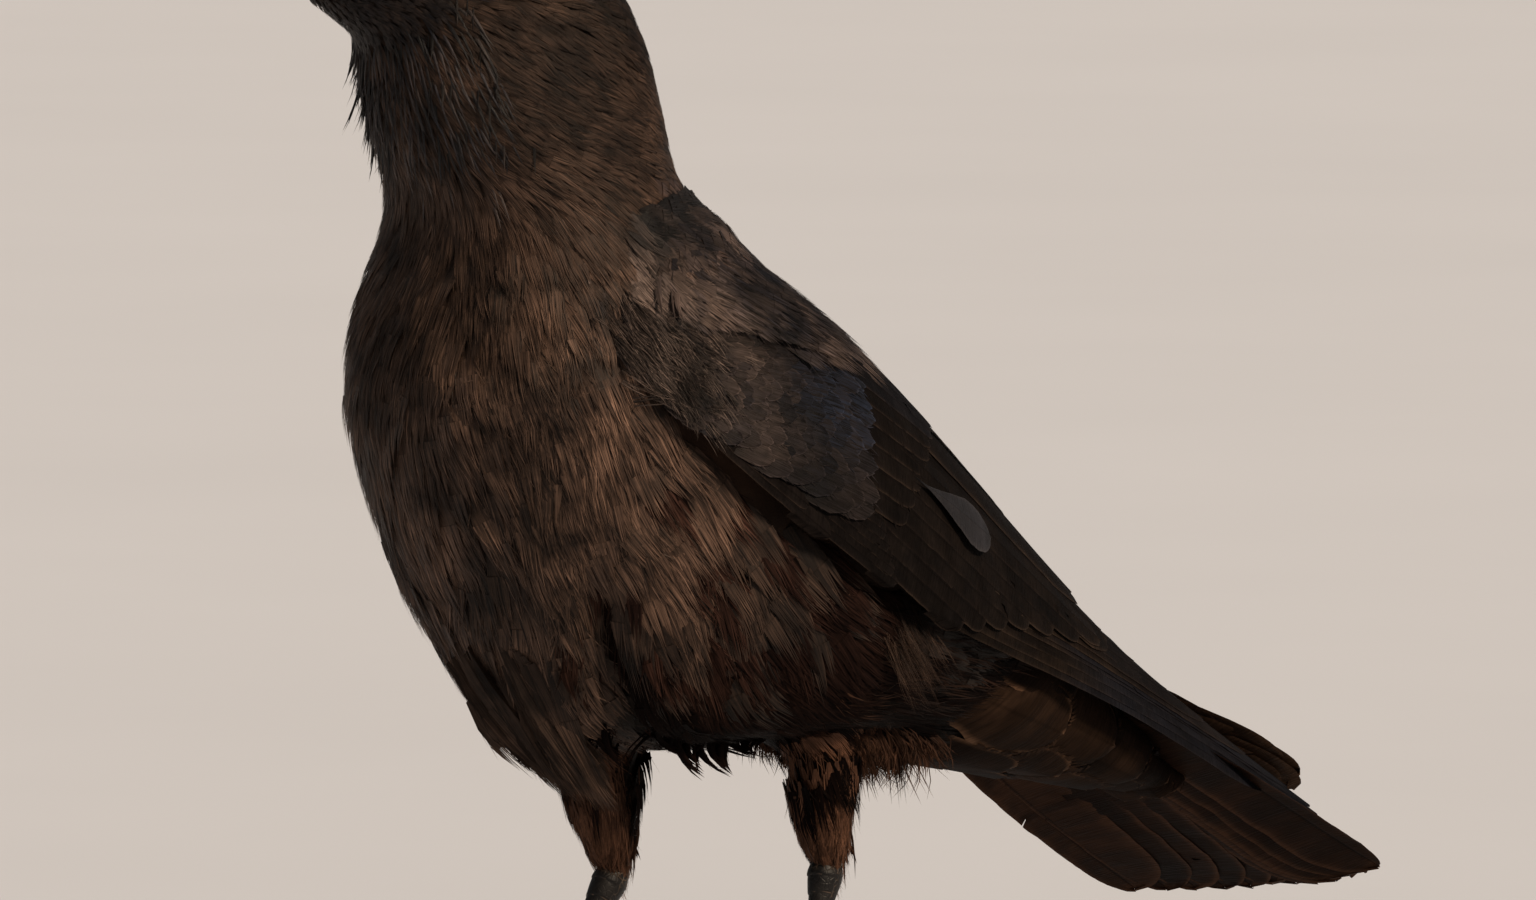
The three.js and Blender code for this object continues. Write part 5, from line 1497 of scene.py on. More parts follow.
def build_wing(side, name):
    r = np.random.default_rng(40 + side)
    # the far wing's feathers: more nicks and ragged tips from wear, and painted lighter and browner where they lie in
    # shade
    worn_painted_light = 1.0 if side < 0 else 0.0
    flight = Pile()
    n_cells = 20
    cell = 0
    # primaries: the outermost lies lowest, each inner one over it
    for k in range(9, -1, -1):
        u1, d1 = PRIMARY_TIPS[k]
        d0 = lerp(3.0, 0.35, k / 9)
        rank = 9 - k
        wing_feather(
            flight, side, (0.3, d0), (u1 + r.uniform(-0.004, 0.004) + 0.019 * worn_painted_light, d1), 0.03 + 0.018 * rank, 0.02 + 0.024 * min(rank, 6), 0.42 if k > 5 else 0.5, 1.0, ease=1.15, bow=0.38 * float(smooth((k - 3) / 4)) * (side > 0), bow_at=1.6, gloss_from=float(lerp(0.3, 0.46, k / 9)) if k > 4 else 0.62,
            rows=54, tip=0.16 if k > 6 else 0.13, slant=0.045, splits=nicks(r, 1 + int(5 * worn_painted_light)), seed=int(r.integers(1e6)), cup=(0.03, 0.04),
            fx=(r.random(), 0.2 + 0.35 * worn_painted_light + 0.1 * r.random(), (1.0 if k > 4 else 0.35) - 0.85 * worn_painted_light * (k > 4)), rim=0.25 + 0.3 * worn_painted_light, cell=(cell, n_cells), ragged=0.004 + 0.01 * worn_painted_light)
        cell += 1
    for k, (u1, v1) in enumerate(SECONDARY_TIPS):
        d1 = float(d_of(u1, v1)) + 0.15
        d0 = lerp(0.9, 3.9, k / 6)
        wing_feather(
            flight, side, (0.24, d0), (u1, d1), 0.17 + 0.02 * k, 0.14 + 0.018 * k, 0.46, 1.15, ease=1.1,
            rows=44, tip=0.16, slant=0.06, splits=nicks(r, 2), seed=int(r.integers(1e6)), cup=(0.045, 0.06), fx=(r.random(), 0.12 + 0.1 * r.random(), 0.1), rim=0.5, cell=(cell, n_cells), square=2.3)
        cell += 1
    for k, (u1, v1) in enumerate(TERTIAL_TIPS):
        d1 = float(d_of(u1, v1))
        d0 = lerp(4.9, 8.0, k / 2)
        wing_feather(
            flight, side, (0.2, d0), (u1, d1), 0.25 + 0.03 * k, 0.2 + 0.03 * k, 1.05 + 0.1 * k, 1.35, rows=40, tip=0.22, slant=0.07,
            splits=nicks(r, 2), seed=int(r.integers(1e6)), cup=(0.06, 0.07), fx=(r.random(), 0.14, 0.06), rim=0.42, cell=(cell, n_cells), square=2.2)
        cell += 1
    flight.build("flight_feathers_" + name, MAT["flight" if side > 0 else "worn_painted_light"], "flight_feathers", ("wing_" + name,))

    coverts = Pile()
    n_cells = 36
    cell = 0
    # alula and primary coverts along the leading edge
    for k in range(3):
        wing_feather(coverts, side, (0.03 + 0.012 * k, 0.35 + 0.14 * k), (0.235 - 0.035 * k, 0.10 + 0.3 * k), 0.2 + 0.035 * k, 0.2 + 0.035 * k, 0.2, 0.42, rows=30, tip=0.1, slant=0.03, seed=int(r.integers(1e6)), cup=(0.03, 0.03), fx=(r.random(), 0.25, 0.2), rim=0.4, cell=(cell, n_cells), square=2.4)
        cell += 1
    for k in range(7):
        wing_feather(coverts, side, (0.1 + 0.006 * k, 0.42 + 0.22 * k), (0.335 - 0.007 * k, 0.16 + 0.23 * k), 0.14 + 0.018 * k, 0.15 + 0.018 * k, 0.24, 0.42, rows=30, tip=0.07, slant=0.02, splits=nicks(r, 1), seed=int(r.integers(1e6)), cup=(0.02, 0.02), fx=(r.random(), 0.16, 0.15), rim=0.4, cell=(cell, n_cells), square=3.2)
        cell += 1
    # greater coverts
    for k in range(11):
        f = k / 10
        u1 = table(f, [(0, 0.335), (0.25, 0.36), (0.5, 0.385), (0.75, 0.42), (1, 0.46)])
        d1 = float(d_of(u1, lerp(0.2, 0.82, f)))
        wing_feather(coverts, side, (u1 - 0.17, d1 - 0.05 + 0.4 * f), (u1, d1), 0.27 + 0.01 * k, 0.25 + 0.01 * k, 0.5, 0.72, rows=28, tip=0.2, slant=0.07, splits=nicks(r, 1), seed=int(r.integers(1e6)), cup=(0.03, 0.04), fx=(r.random(), 0.15, 0.1 + 0.5 * (k > 5)), rim=0.38 + 0.6 * (k in (6, 8)), cell=(cell, n_cells), fringe=6, square=2.3)
        cell += 1
    coverts.build("wing_coverts_" + name, MAT["flight"], "flight_feathers")

    # a thin dark layer under the small coverts closes the wing towards the shoulder and back
    U, X = np.meshgrid(np.linspace(-0.03, 0.47, 60), np.linspace(0.0, 1.2, 50), indexing="ij")
    base_co = over(side, U, X, np.full_like(U, -0.06))[0]
    q = grid_faces(60, 50)
    if side < 0:
        q = q[:, ::-1]
    core = make_mesh("wing_down_" + name, metres(base_co.reshape(-1, 3)), q)
    core.data.materials.append(MAT["skin"])
    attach(core, "root")

    small, shoulder = Pile(), Pile()

    def rows_of(u_from, u_to, x_from, x_to, gap0, gap1, jitter=0.28):
        """Staggered feather tips over part of the wing, in shares of its length and width."""
        out, u, odd = [], u_from, 0
        while u < u_to:
            gap = lerp(gap0, gap1, (u - u_from) / (u_to - u_from))
            w = float(np.interp(clamp(u), WU, WW))
            d = x_from(u) * w + 0.5 * odd * gap
            while d < x_to(u) * w:
                out.append((u + r.uniform(-jitter, jitter) * gap / 31, (d + r.uniform(-jitter, jitter) * gap) / w, gap))
                d += gap
            u += gap * 0.85 / 31
            odd = 1 - odd
        return np.array(out).T

    edge_x = lambda u: float(d_of(clamp(u), table(u, LOBE))) / float(np.interp(clamp(u), WU, WW))
    # lesser and median coverts
    u1, x1, gap = rows_of(0.03, 0.30, lambda u: 0.04 + 0.08 * float(smooth((u - 0.05) / 0.08)), lambda u: edge_x(u) + 0.25, 0.3, 0.62)
    w1 = np.interp(clamp(u1), WU, WW)
    along_u = lerp(1.2, 2.5, smooth(u1 / 0.28)) * r.uniform(0.85, 1.15, len(u1))
    fan = 0.25 * (x1 - 0.35) * along_u + 0.25 * along_u * np.exp(-((u1 / 0.06) ** 2))
    # a patch of painted blue sheen on the coverts; the coverts also darken towards the rear, and a painted shadow falls
    # on those just under the scapular lobe's edge
    blue_sheen = np.exp(-((u1 - 0.262) / 0.055) ** 2 - ((x1 - 0.47) / 0.17) ** 2)
    gap_to = x1 - np.array([edge_x(u) for u in u1])
    dim_and_lobe_shadow = clamp(0.66 * smooth((u1 - 0.09) / 0.15) * (1 - 0.5 * smooth((x1 - 0.25) / 0.2) * smooth((0.24 - u1) / 0.08)) + 0.55 * np.exp(-((gap_to + 0.03) / 0.07) ** 2), 0, 0.8) * (1 - 0.6 * blue_sheen)
    pale = np.exp(-((u1 - 0.03) / 0.04) ** 2 - ((x1 - 0.2) / 0.2) ** 2)
    fx = np.stack([r.random(len(u1)), clamp((0.26 + 0.1 * r.normal(0, 1, len(u1)) + 0.5 * pale) * (1 - 0.8 * blue_sheen)), clamp(0.1 + 0.12 * r.random(len(u1)) + 2.2 * blue_sheen), dim_and_lobe_shadow], -1)
    wing_soft(small, soft["covert"], side, u1 - along_u / 31, x1 + fan / w1, u1, x1, 0.16, 0.36 + r.uniform(-0.02, 0.03, len(u1)), 0.03, gap * 0.8, r.normal(0, 0.04, len(u1)), 0.12, fx, r)
    # frizz of loose barbs at the wrist, drawn with the shoulder's lighter material: painted light on a part that lies
    # in shade
    c = 340
    u1, x1 = r.normal(0.035, 0.03, c), clamp(r.normal(0.22, 0.16, c), 0.0, 0.6)
    w1 = np.interp(clamp(u1), WU, WW)
    fx = np.stack([r.random(c), r.uniform(0.2, 0.7, c), 0 * u1, 0.5 * r.random(c)], -1)
    wing_soft(shoulder, hair, side, u1 - 0.8 / 31, x1 + r.normal(0.4, 0.3, c) / w1, u1, x1, 0.28, r.uniform(0.36, 0.56, c), 0.05, np.full(c, 0.16), r.normal(0, 0.4, c), 0.0, fx, r)
    small.build("lesser_coverts_" + name, MAT["covert"], "flight_feathers")

    # shoulder feathers of the body run over the front of the wing
    u1, x1, gap = rows_of(-0.06, 0.012, lambda u: 0.05, lambda u: 1.1, 0.26, 0.3)
    w1 = np.interp(clamp(u1), WU, WW)
    along_u = 1.9 * r.uniform(0.8, 1.15, len(u1))
    # painted highlight: paler feathers on the top front of the shoulder, where the light falls
    pale = np.exp(-((u1 + 0.015) / 0.03) ** 2 - ((x1 - 0.75) / 0.3) ** 2)
    fx = np.stack([r.random(len(u1)), clamp(0.24 + 0.12 * r.normal(0, 1, len(u1)) + 0.85 * pale), clamp(0.15 * r.random(len(u1))), 0 * u1], -1)
    wing_soft(shoulder, soft["breast"], side, u1 - along_u * 0.75 / 31, clamp(x1 + 0.7 * along_u / w1, 0, 1.34), u1, x1, 0.15 * smooth((u1 - 0.0) / 0.03), 0.26 * smooth((u1 + 0.03) / 0.03) + 0.12 + 0.2 * smooth((u1 + 0.008) / 0.012) * (x1 > 0.5) + r.uniform(-0.02, 0.08, len(u1)), 0.08, 0.25 + 0 * u1, r.normal(0, 0.12, len(u1)), 0.1, fx, r)
    u1, x1, gap = rows_of(-0.05, 0.17, lambda u: float(table(u, [(-0.05, 0.95), (0.05, 0.98), (0.17, 1.05)])), lambda u: 1.3, 0.34, 0.42)
    w1 = np.interp(clamp(u1), WU, WW)
    fx = np.stack([r.random(len(u1)), clamp(0.08 + 0.06 * r.normal(0, 1, len(u1))), clamp(0.25 * r.random(len(u1))), 0.55 + 0 * u1], -1)
    wing_soft(shoulder, soft["back"], side, u1 - 1.5 / 31, clamp(x1 + 1.0 / w1, 0, 1.34), u1, x1, -0.05, 0.3 + 0.12 * smooth(u1 / 0.05) - 0.5 * smooth((0.02 - u1) / 0.05) + r.uniform(-0.02, 0.05, len(u1)), 0.08, 0.36 + 0 * u1, r.normal(0, 0.08, len(u1)), 0.1, fx, r)
    shoulder.build("shoulder_feathers_" + name, MAT["shoulder"], "body_feathers")

    # scapulars: a soft bulging lobe that hangs over the shoulder and runs out along the wing's upper edge
    scap = Pile()
    upper = lambda u: float(table(u, [(0, 0.86), (0.06, 0.97), (0.15, 1.06), (0.25, 1.1), (0.36, 1.05)]))
    u1, x1, gap = rows_of(0.02, 0.36, edge_x, upper, 0.4, 0.7, 0.3)
    w1 = np.interp(clamp(u1), WU, WW)
    e1 = np.array([edge_x(u) for u in u1])
    top1 = np.array([upper(u) for u in u1])
    rise = 0.42 * smooth((x1 - e1 + 0.1) / 0.16) * smooth((0.36 - u1) / 0.14) * smooth((u1 + 0.02) / 0.09) * smooth((top1 + 0.05 - x1) / 0.3)
    du = table(u1, [(0, 0.02), (0.05, 0.036), (0.12, 0.06), (0.2, 0.085), (0.3, 0.11), (0.5, 0.11)]) * r.uniform(0.85, 1.15, len(u1)) + r.normal(0, 0.006, len(u1))
    dd = table(u1, [(0, 0.9), (0.05, 1.1), (0.12, 1.35), (0.2, 1.4), (0.3, 1.0), (0.5, 0.5)]) * r.uniform(0.85, 1.15, len(u1))
    # painted highlight: pale streaks at the lobe's front and top, and a painted highlight along its top edge; pale rims
    # along its lower edge
    streak_highlight = np.exp(-((u1 - 0.05) / 0.06) ** 2 - ((x1 - 0.7) / 0.25) ** 2)
    rim_and_top_highlight = np.exp(-((x1 - e1) / 0.05) ** 2) + np.exp(-((x1 - top1 + 0.12) / 0.12) ** 2) * (u1 > 0.08)
    fx = np.stack([r.random(len(u1)), clamp(0.2 + 0.12 * r.normal(0, 1, len(u1)) + 0.55 * streak_highlight + 0.3 * rim_and_top_highlight), clamp(0.1 + 0.2 * r.random(len(u1))), clamp(0.3 - 0.3 * streak_highlight - 0.25 * rim_and_top_highlight + 0.12 * r.normal(0, 1, len(u1)))], -1)
    h1 = 0.3 + rise + 0.1 * smooth(u1 / 0.1) + r.uniform(-0.02, 0.04, len(u1))
    wing_soft(scap, soft["scapular"], side, u1 - du, clamp(x1 + dd / w1, 0, 1.32), u1, x1, h1 - 0.22, h1, 0.05, gap * 1.0, r.normal(0, 0.04, len(u1)), 0.12, fx, r)
    # a few lifted, pointed ones at the front of the lobe's lower edge
    c = 5
    u1, x1 = r.uniform(0.005, 0.03, c), r.normal(0.0, 0.035, c)
    x1 = x1 + np.array([edge_x(u) for u in u1])
    w1 = np.interp(clamp(u1), WU, WW)
    fx = np.stack([r.random(c), r.uniform(0.4, 0.8, c), 0.2 + 0 * u1, 0 * u1], -1)
    wing_soft(scap, spikes, side, u1 + r.uniform(-0.01, 0.03, c), x1 + r.uniform(1.1, 1.7, c) / w1, u1 - 0.012, x1 - 0.1 / w1, 0.4, r.uniform(0.62, 0.85, c), 0.05, np.full(c, 0.17), r.normal(0, 0.3, c), 0.0, fx, r)
    scap.build("scapulars_" + name, MAT["covert"], "body_feathers")

    if side > 0:
        # one small loose feather lying across the greater coverts
        stray = Pile()
        ends = [(0.338, float(d_of(0.338, 0.30))), (0.458, float(d_of(0.458, 0.315)))]
        wing_feather(stray, side, ends[0], ends[1], 0.4, 0.44, 0.82, 0.7, rows=40, tip=0.42, base=0.0, swell=0.95, slant=0.02, seed=5, cup=(0.02, 0.02), fx=(0.5, 0.3, 0.9), rim=0.25, cell=(0, 1), square=2.0, wobble=0.03, bow=0.06)
        stray.build("loose_feather", MAT["stray"], "body_feathers")


# the lower edge of the scapular lobe: share of the wing's length, and v
LOBE = [(-0.05, 0.62), (0, 0.575), (0.06, 0.5), (0.13, 0.49), (0.235, 0.475), (0.325, 0.56), (0.4, 0.75), (0.5, 0.95)]
soft["covert"] = [scale_template(1100 + i) for i in range(10)]
soft["scapular"] = [soft_template(20, 0.74, 0.12, 0.04, 1200 + i, rows=3, side=2, ragged=0.12, segs=2) for i in range(8)]


def cover_grid(side):
    """The surface that the small coverts follow: the wing, running out into shoulder and back at its front and upper edges."""
    us, xs = np.linspace(-0.07, 0.6, 68), np.linspace(-0.1, 1.35, 74)
    U, X = np.meshgrid(us, xs, indexing="ij")
    w = np.interp(clamp(U), WU, WW)
    xc = clamp(X)
    p = wing_surface(side, clamp(U), xc * w, np.zeros_like(U))
    _, n, ev = wing_frame(clamp(U), v_of(clamp(U), xc * w), side)
    eu = unit(wing_surface(side, clamp(U) + 0.02, xc * w, 0 * U) - wing_surface(side, clamp(U), xc * w, 0 * U))
    p = p + eu * (np.minimum(0, U) * 31)[..., None] + ev * ((X - xc) * w)[..., None]
    q, m, _ = snap(p.reshape(-1, 3))
    q = (q + m * 0.05).reshape(p.shape)
    arc = lambda s: np.sqrt(1 - (1 - clamp(s)) ** 2)
    q = q - m.reshape(p.shape) * (0.3 * smooth((-0.005 - U) / 0.03))[..., None]
    front_w = arc((U + 0.02) / 0.08)
    top_w = lerp(arc((1.04 - X) * w / 1.7), 1.0, smooth((U - 0.24) / 0.1))
    low_w = lerp(arc((X + 0.02) * w / 0.8), 1.0, smooth((U - 0.04) / 0.06))
    k = (front_w * top_w * low_w)[..., None]
    p = q * (1 - k) + p * k
    for _ in range(3):
        inner = (p[2:, 1:-1] + p[:-2, 1:-1] + p[1:-1, 2:] + p[1:-1, :-2]) / 4
        p[1:-1, 1:-1] = lerp(p[1:-1, 1:-1], inner, 0.5)
    nn = unit(np.cross(np.gradient(p, axis=0), np.gradient(p, axis=1)))
    nn = nn * np.sign(dot(nn, n))
    return p, nn


def over(side, u, x, h):
    co, nn = COVER[side]
    i = clamp((np.asarray(u, float) + 0.07) / 0.67) * 67
    j = clamp((np.asarray(x, float) + 0.1) / 1.45) * 73
    i0, j0 = np.minimum(np.floor(i).astype(int), 66), np.minimum(np.floor(j).astype(int), 72)
    fi, fj = (i - i0)[..., None], (j - j0)[..., None]
    get = lambda tab: (tab[i0, j0] * (1 - fi) + tab[i0 + 1, j0] * fi) * (1 - fj) + (tab[i0, j0 + 1] * (1 - fi) + tab[i0 + 1, j0 + 1] * fi) * fj
    n = unit(get(nn))
    h = np.asarray(h, float)
    return get(co) + n * np.where(h > 0, h * low_at_top(np.asarray(u, float), np.asarray(x, float)), h)[..., None], n


def wing_soft(pile, tpls, side, u0, x0, u1, x1, h0, h1, arch, half, roll, camber, fx, r):
    """Small soft feathers over the wing from roots (u0, x0) to tips (u1, x1), with heights h0 and h1."""
    h0, h1 = h0 + 0 * u0, h1 + 0 * u0
    p0, n0 = over(side, u0, x0, h0)
    p1, n1 = over(side, (u0 + u1) / 2, (x0 + x1) / 2, (h0 + h1) / 2 + arch)
    p2, n2 = over(side, u1, x1, h1)
    pick = r.integers(0, len(tpls), len(u0))
    bake = np.stack([clamp((u0 + 0.07) / 0.7, 0.01, 0.99), clamp((x0 + 0.1) / 1.5, 0.01, 0.99)], -1)
    for j, tpl in enumerate(tpls):
        m = np.flatnonzero(pick == j)
        if len(m):
            # the mirrored side keeps the feathers' upper faces outwards
            lay_feathers(pile, tpl, p0[m], p1[m], p2[m], n0[m], n1[m], n2[m], half[m], roll[m], np.full(len(m), camber), bake[m], clamp(fx[m]))


COVER = {1: cover_grid(1), -1: cover_grid(-1)}

for side, name in ((1, "left"), (-1, "right")):
    build_wing(side, name)
# ------------------------------------------------------------------ tail
def tail_surface(S, X, H, q0, s0, s1):
    """Points of a tail feather: S along it, X cm across towards the bird's left, H above its plane."""
    s = s0 + (s1 - s0) * S
    t, e = clamp(s / TAIL_LENGTH), 0.02
    here = tail_point(s, np.full_like(s, q0))
    side_v = tail_point(s, np.full_like(s, q0 + e)) - tail_point(s, np.full_like(s, q0 - e))
    side_v = unit(side_v)
    along_v = unit(tail_point(s + 0.1, np.full_like(s, q0)) - tail_point(s - 0.1, np.full_like(s, q0)))
    side_v = unit(side_v - along_v * dot(side_v, along_v))
    n = np.cross(side_v, along_v)
    return here + side_v * X[..., None] + n * H[..., None]


TAIL_TILT = -0.36


def build_tail():
    r = np.random.default_rng(77)
    pile = Pile()
    order = [0, 11, 1, 10, 2, 9, 3, 8, 4, 7, 5, 6]  # outermost lowest, the middle pair on top
    for rank, k in enumerate(order):
        q = (k - 5.5) / 6 * (0.97 if k < 10 else (1.0 if k == 10 else 1.08))
        left = q > 0
        length = TAIL_LENGTH - 1.35 * q * q - 0.1 + (0.12 if q < -0.2 else -0.05)
        height = -0.13 + 0.045 * (rank // 2)
        # x < 0 is the outer vane on the right side, so widths swap over on the left
        outer_w, inner_w = lerp(0.95, 0.55, abs(q)), 1.45
        low, top = (inner_w, outer_w) if left else (outer_w, inner_w)
        far = 1.0 if k == 0 else 0.0
        splits = nicks(r, 1 if k not in (0, 1) else 4, 0.5)

        def surf(S, X, H, q=q, length=length, height=height):
            return tail_surface(S, X, H - TAIL_TILT * X * smooth((q - 0.15) / 0.5) * smooth(S * 3), q, 0.6, length) + np.array([0, 0, 1.0]) * (height + smooth((q - 0.05) / 0.95) * 0.55 * smooth((S - 0.05) / 0.35) * (1 - 0.55 * smooth((S - 0.6) / 0.4)))[..., None]

        # the outermost feather is painted warmer: a painted glow where light shines through and reflects off its pale
        # inner vane
        vane(pile, surf, length, low, top, rows=64, tip=0.15, slant=0.045, splits=splits, seed=int(r.integers(1e6)), cup=(0.06, 0.06), fx=(r.random(), 0.75 if k == 0 else 0.22 + 0.25 * r.random(), 0.05), rim=0.7, cell=(rank, 12), ragged=0.01, square=2.2, wobble=0.02)
    pile.build("tail_feathers", MAT["tail"], "flight_feathers", ("tail",))


build_tail()


# ------------------------------------------------------------------ undertail coverts
UNDER_DIR = unit(tail_point(10.0, 0.0) - tail_point(6.0, 0.0))


def under_surface(S, X, H, t0, t1, a0, a1):
    t = t0 + (t1 - t0) * S
    tc = np.minimum(t, 14.0)
    a = a0 + (a1 - a0) * S
    e = 0.03
    rad = np.linalg.norm(body_point(tc, a + e) - body_point(tc, a - e), axis=-1) / (2 * e)
    a = a + X / np.maximum(rad, 0.6)
    p = body_point(tc, a)
    da = body_point(tc, a + e) - body_point(tc, a - e)
    dt = body_point(np.minimum(14, tc + 0.1), a) - body_point(tc - 0.1, a)
    n = unit(np.cross(dt, da))
    n = n * np.sign(dot(n, p - body_point(tc, a + np.pi)))
    return p + n * H[..., None] + UNDER_DIR * (np.maximum(0, t - 14.0) * 1.3)[..., None]


def build_undertail():
    r = np.random.default_rng(88)
    pile = Pile()
    cell, n_cells = 0, 81
    rows = [(14.55, 1.25, 4), (14.0, 1.4, 4), (13.35, 1.45, 5), (12.65, 1.35, 5), (12.0, 1.2, 6)]
    for i, (t1, half, count) in enumerate(rows):
        for k in range(count):
            a = np.pi * (1 + 1.2 * ((k + 0.25 + 0.5 * (i % 2)) / count - 0.5) * 1.1) + r.normal(0, 0.05)
            tip = t1 + r.uniform(-0.14, 0.14)
            h = 0.08 + 0.05 * i + 0.03 * (k % 3)
            turn = r.normal(0, 0.06)
            surf = lambda S, X, H, a=a, tip=tip, h=h, turn=turn: under_surface(S, X, H + lerp(-0.35, h, smooth(S * 1.7)) + 0.08 * S, tip - 1.55, tip, a - turn, a)
            vane(pile, surf, 3.6, half, half, rows=22, cols=FEW_COLUMNS, tip=0.6, base=0.7, slant=0.1, seed=int(r.integers(1e6)), cup=(0.09, 0.09), ridge=0.008, fx=(r.random(), r.uniform(0.08, 0.22), 0.0), rim=0.95, cell=(cell, n_cells), fringe=60, square=2.0, streak=0.3, wobble=0.04, ragged=0.03)
            cell += 1
    pile.build("undertail_coverts", MAT["under"], "body_feathers")


build_undertail()
# ------------------------------------------------------------------ bill and eyes
def bill_y(s):
    return BILL_BASE_Y + 1.0 - (BILL_LENGTH + 1.0) * s


def culmen(s):
    return BILL_Z + BILL_DEPTH * 0.6 * (1 - 0.22 * s) - 0.16 * s - 1.05 * s**3.2


def tomium(s):
    return BILL_Z - 0.3 * s * s + 0.04 * np.sin(np.pi * s)


def gonys(s):
    return BILL_Z - BILL_DEPTH * 0.42 * (1 - 0.35 * s) + 0.3 * s**2.2 - 0.12 * s * s


def bill_half(s):
    return 0.78 * (1 - 0.97 * s) ** 0.72


def bill_piece(name, upper):
    rows, cols = 90, 48
    end = 1.0 if upper else 0.93
    s = end * np.linspace(0, 1, rows + 1) ** 0.8
    edge = tomium(s)
    out = np.maximum(culmen(s), edge + 0.03) if upper else np.minimum(gonys(s), edge - 0.03)
    w = np.maximum(0.02, bill_half(s))
    a = np.linspace(0, 2 * np.pi, cols, endpoint=False)
    k, q = np.cos(a)[None], np.sin(a)[None]
    half = w[:, None] * (1.0 if upper else 0.92)
    # flanks: full near the cutting edge, drawn in below the ridge
    x = half * np.sign(q) * np.abs(q) ** (0.94 if upper else 0.9)
    rise = (out - edge)[:, None]
    z = np.where(k > 0, edge[:, None] + rise * np.maximum(k, 0) ** 0.86, edge[:, None] + (0.017 if upper else -0.017) - 0.05 * rise * k)
    pinch = 1 - 0.05 * np.sin(np.pi * np.clip(k, 0, 1)) * (1 - s[:, None])
    x = x * pinch
    # growth lines
    r = np.random.default_rng(5)
    y = np.broadcast_to(bill_y(s)[:, None], x.shape).copy()
    if upper:
        x *= 1 + 0.012 * np.sin(38 * s[:, None] + 2 * k) * (k > 0.1)
        # the slit of the nostril, under the bristles
        d = np.hypot((s[:, None] - 0.36) / 0.055, (k - 0.42) / 0.17)
        x -= np.sign(q) * 0.09 * np.exp(-(d**2) * 1.6) * (k > 0)
    p = turned(np.stack([x, y, z], -1))
    co = p.reshape(-1, 3)
    co, qd, tr = np.vstack([co, p[0].mean(0), p[-1].mean(0)]), grid_faces(rows + 1, cols, True), None
    j = np.arange(cols)
    kx = (j + 1) % cols
    tr = np.vstack([np.stack([np.full(cols, (rows + 1) * cols), kx, j], -1), np.stack([np.full(cols, (rows + 1) * cols + 1), rows * cols + j, rows * cols + kx], -1)])
    qd, tr = outward(co - p.reshape(-1, 3).mean(0), qd, tr)
    ob = make_mesh(name, co, [qd, tr])
    ob.data.materials.append(MAT["horn"])
    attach(ob, "root")
    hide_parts(name.replace("beak", "bill"))
    return ob


bill_piece("beak_upper", True)
bill_piece("beak_lower", False)


def sphere(centre, radius, axis, rows=36, cols=56, bulge=0.0):
    """A sphere whose pole looks along axis; bulge raises a cornea round it."""
    z = unit(np.array(axis, float))
    x = unit(np.cross(z, np.array([0, 0, 1.0])))
    y = np.cross(z, x)
    th = np.linspace(0, np.pi, rows + 1)[1:-1]
    ph = np.linspace(0, 2 * np.pi, cols, endpoint=False)
    T, P = np.meshgrid(th, ph, indexing="ij")
    rr = radius * (1 + bulge * np.exp(-((T / 0.42) ** 2)))
    p = centre + rr[..., None] * (np.sin(T)[..., None] * (np.cos(P)[..., None] * x + np.sin(P)[..., None] * y) + np.cos(T)[..., None] * z)
    co = np.vstack([p.reshape(-1, 3), centre + z * radius * (1 + bulge), centre - z * radius])
    n, m = rows - 1, cols
    q = grid_faces(n, m, True)
    j = np.arange(m)
    k = (j + 1) % m
    t = np.vstack([np.stack([np.full(m, n * m), j, k], -1), np.stack([np.full(m, n * m + 1), (n - 1) * m + k, (n - 1) * m + j], -1)])
    return co, q, t


LID = Pile()
for side, name in ((1, "left"), (-1, "right")):
    c = eye_place(side)
    look = unit(turned(np.array([side * 10.0, EYE_Y - 1.6, EYE_Z + 0.2])) - turned(np.array([0.0, EYE_Y, EYE_Z])))
    co, q, t = sphere(c, EYE_R - 0.03, look, bulge=0.03)
    q, t = outward(co - c, q, t)
    ob = make_mesh("eyeball_" + name, co, [q, t])
    ob.data.materials.append(eye_material(metres(c), look))
    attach(ob, "root")
    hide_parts("eye_" + name)
    # lids: a rolled rim round the opening, with a fold outside it
    z = look
    x = unit(np.cross(z, np.array([0, 0, 1.0])))
    y = np.cross(x, z)
    y = y * np.sign(y[2])
    ph = np.linspace(0, 2 * np.pi, 72, endpoint=False)
    rim_r = 0.47 + 0.015 * np.cos(2 * ph)
    bead = 1 + 0.18 * np.sin(26 * ph)
    prof = [(-0.012, -0.06, 0.3), (0.0, 0.018, 0.6), (0.03, 0.04, 1.0), (0.065, 0.022, 1.0), (0.09, -0.01, 0.6), (0.125, 0.012, 0.8), (0.17, -0.005, 0.5), (0.24, -0.1, 0.2)]
    rings = []
    for dr, dz, bd in prof:
        rr = (rim_r + dr) * np.array([1.0])
        base_z = np.sqrt(np.maximum(0.0, (EYE_R - 0.01) ** 2 - np.minimum(rr, 0.62) ** 2))
        zz = base_z + dz * lerp(1, bead, bd)
        rings.append(c + (rr * np.cos(ph))[:, None] * x * 1.06 + (rr * np.sin(ph))[:, None] * y * 0.96 + zz[:, None] * z)
    g = np.array(rings)
    f = grid_faces(len(rings), 72, True)
    tri = np.vstack([f[:, [0, 1, 2]], f[:, [0, 2, 3]]])
    uv = np.stack(np.meshgrid(np.linspace(0, 1, len(rings)), np.linspace(0, 1, 72), indexing="ij"), -1).reshape(1, -1, 2)
    fx = np.tile([0.5, 0.05, 0.2, 0.3], (g.size // 3, 1))[None]
    LID.add(g.reshape(1, -1, 3), tri, uv, uv * 0.4 + (0.05 if side > 0 else 0.55), fx)
lid = LID.build("eyelids", MAT["skin"], "body_feathers")
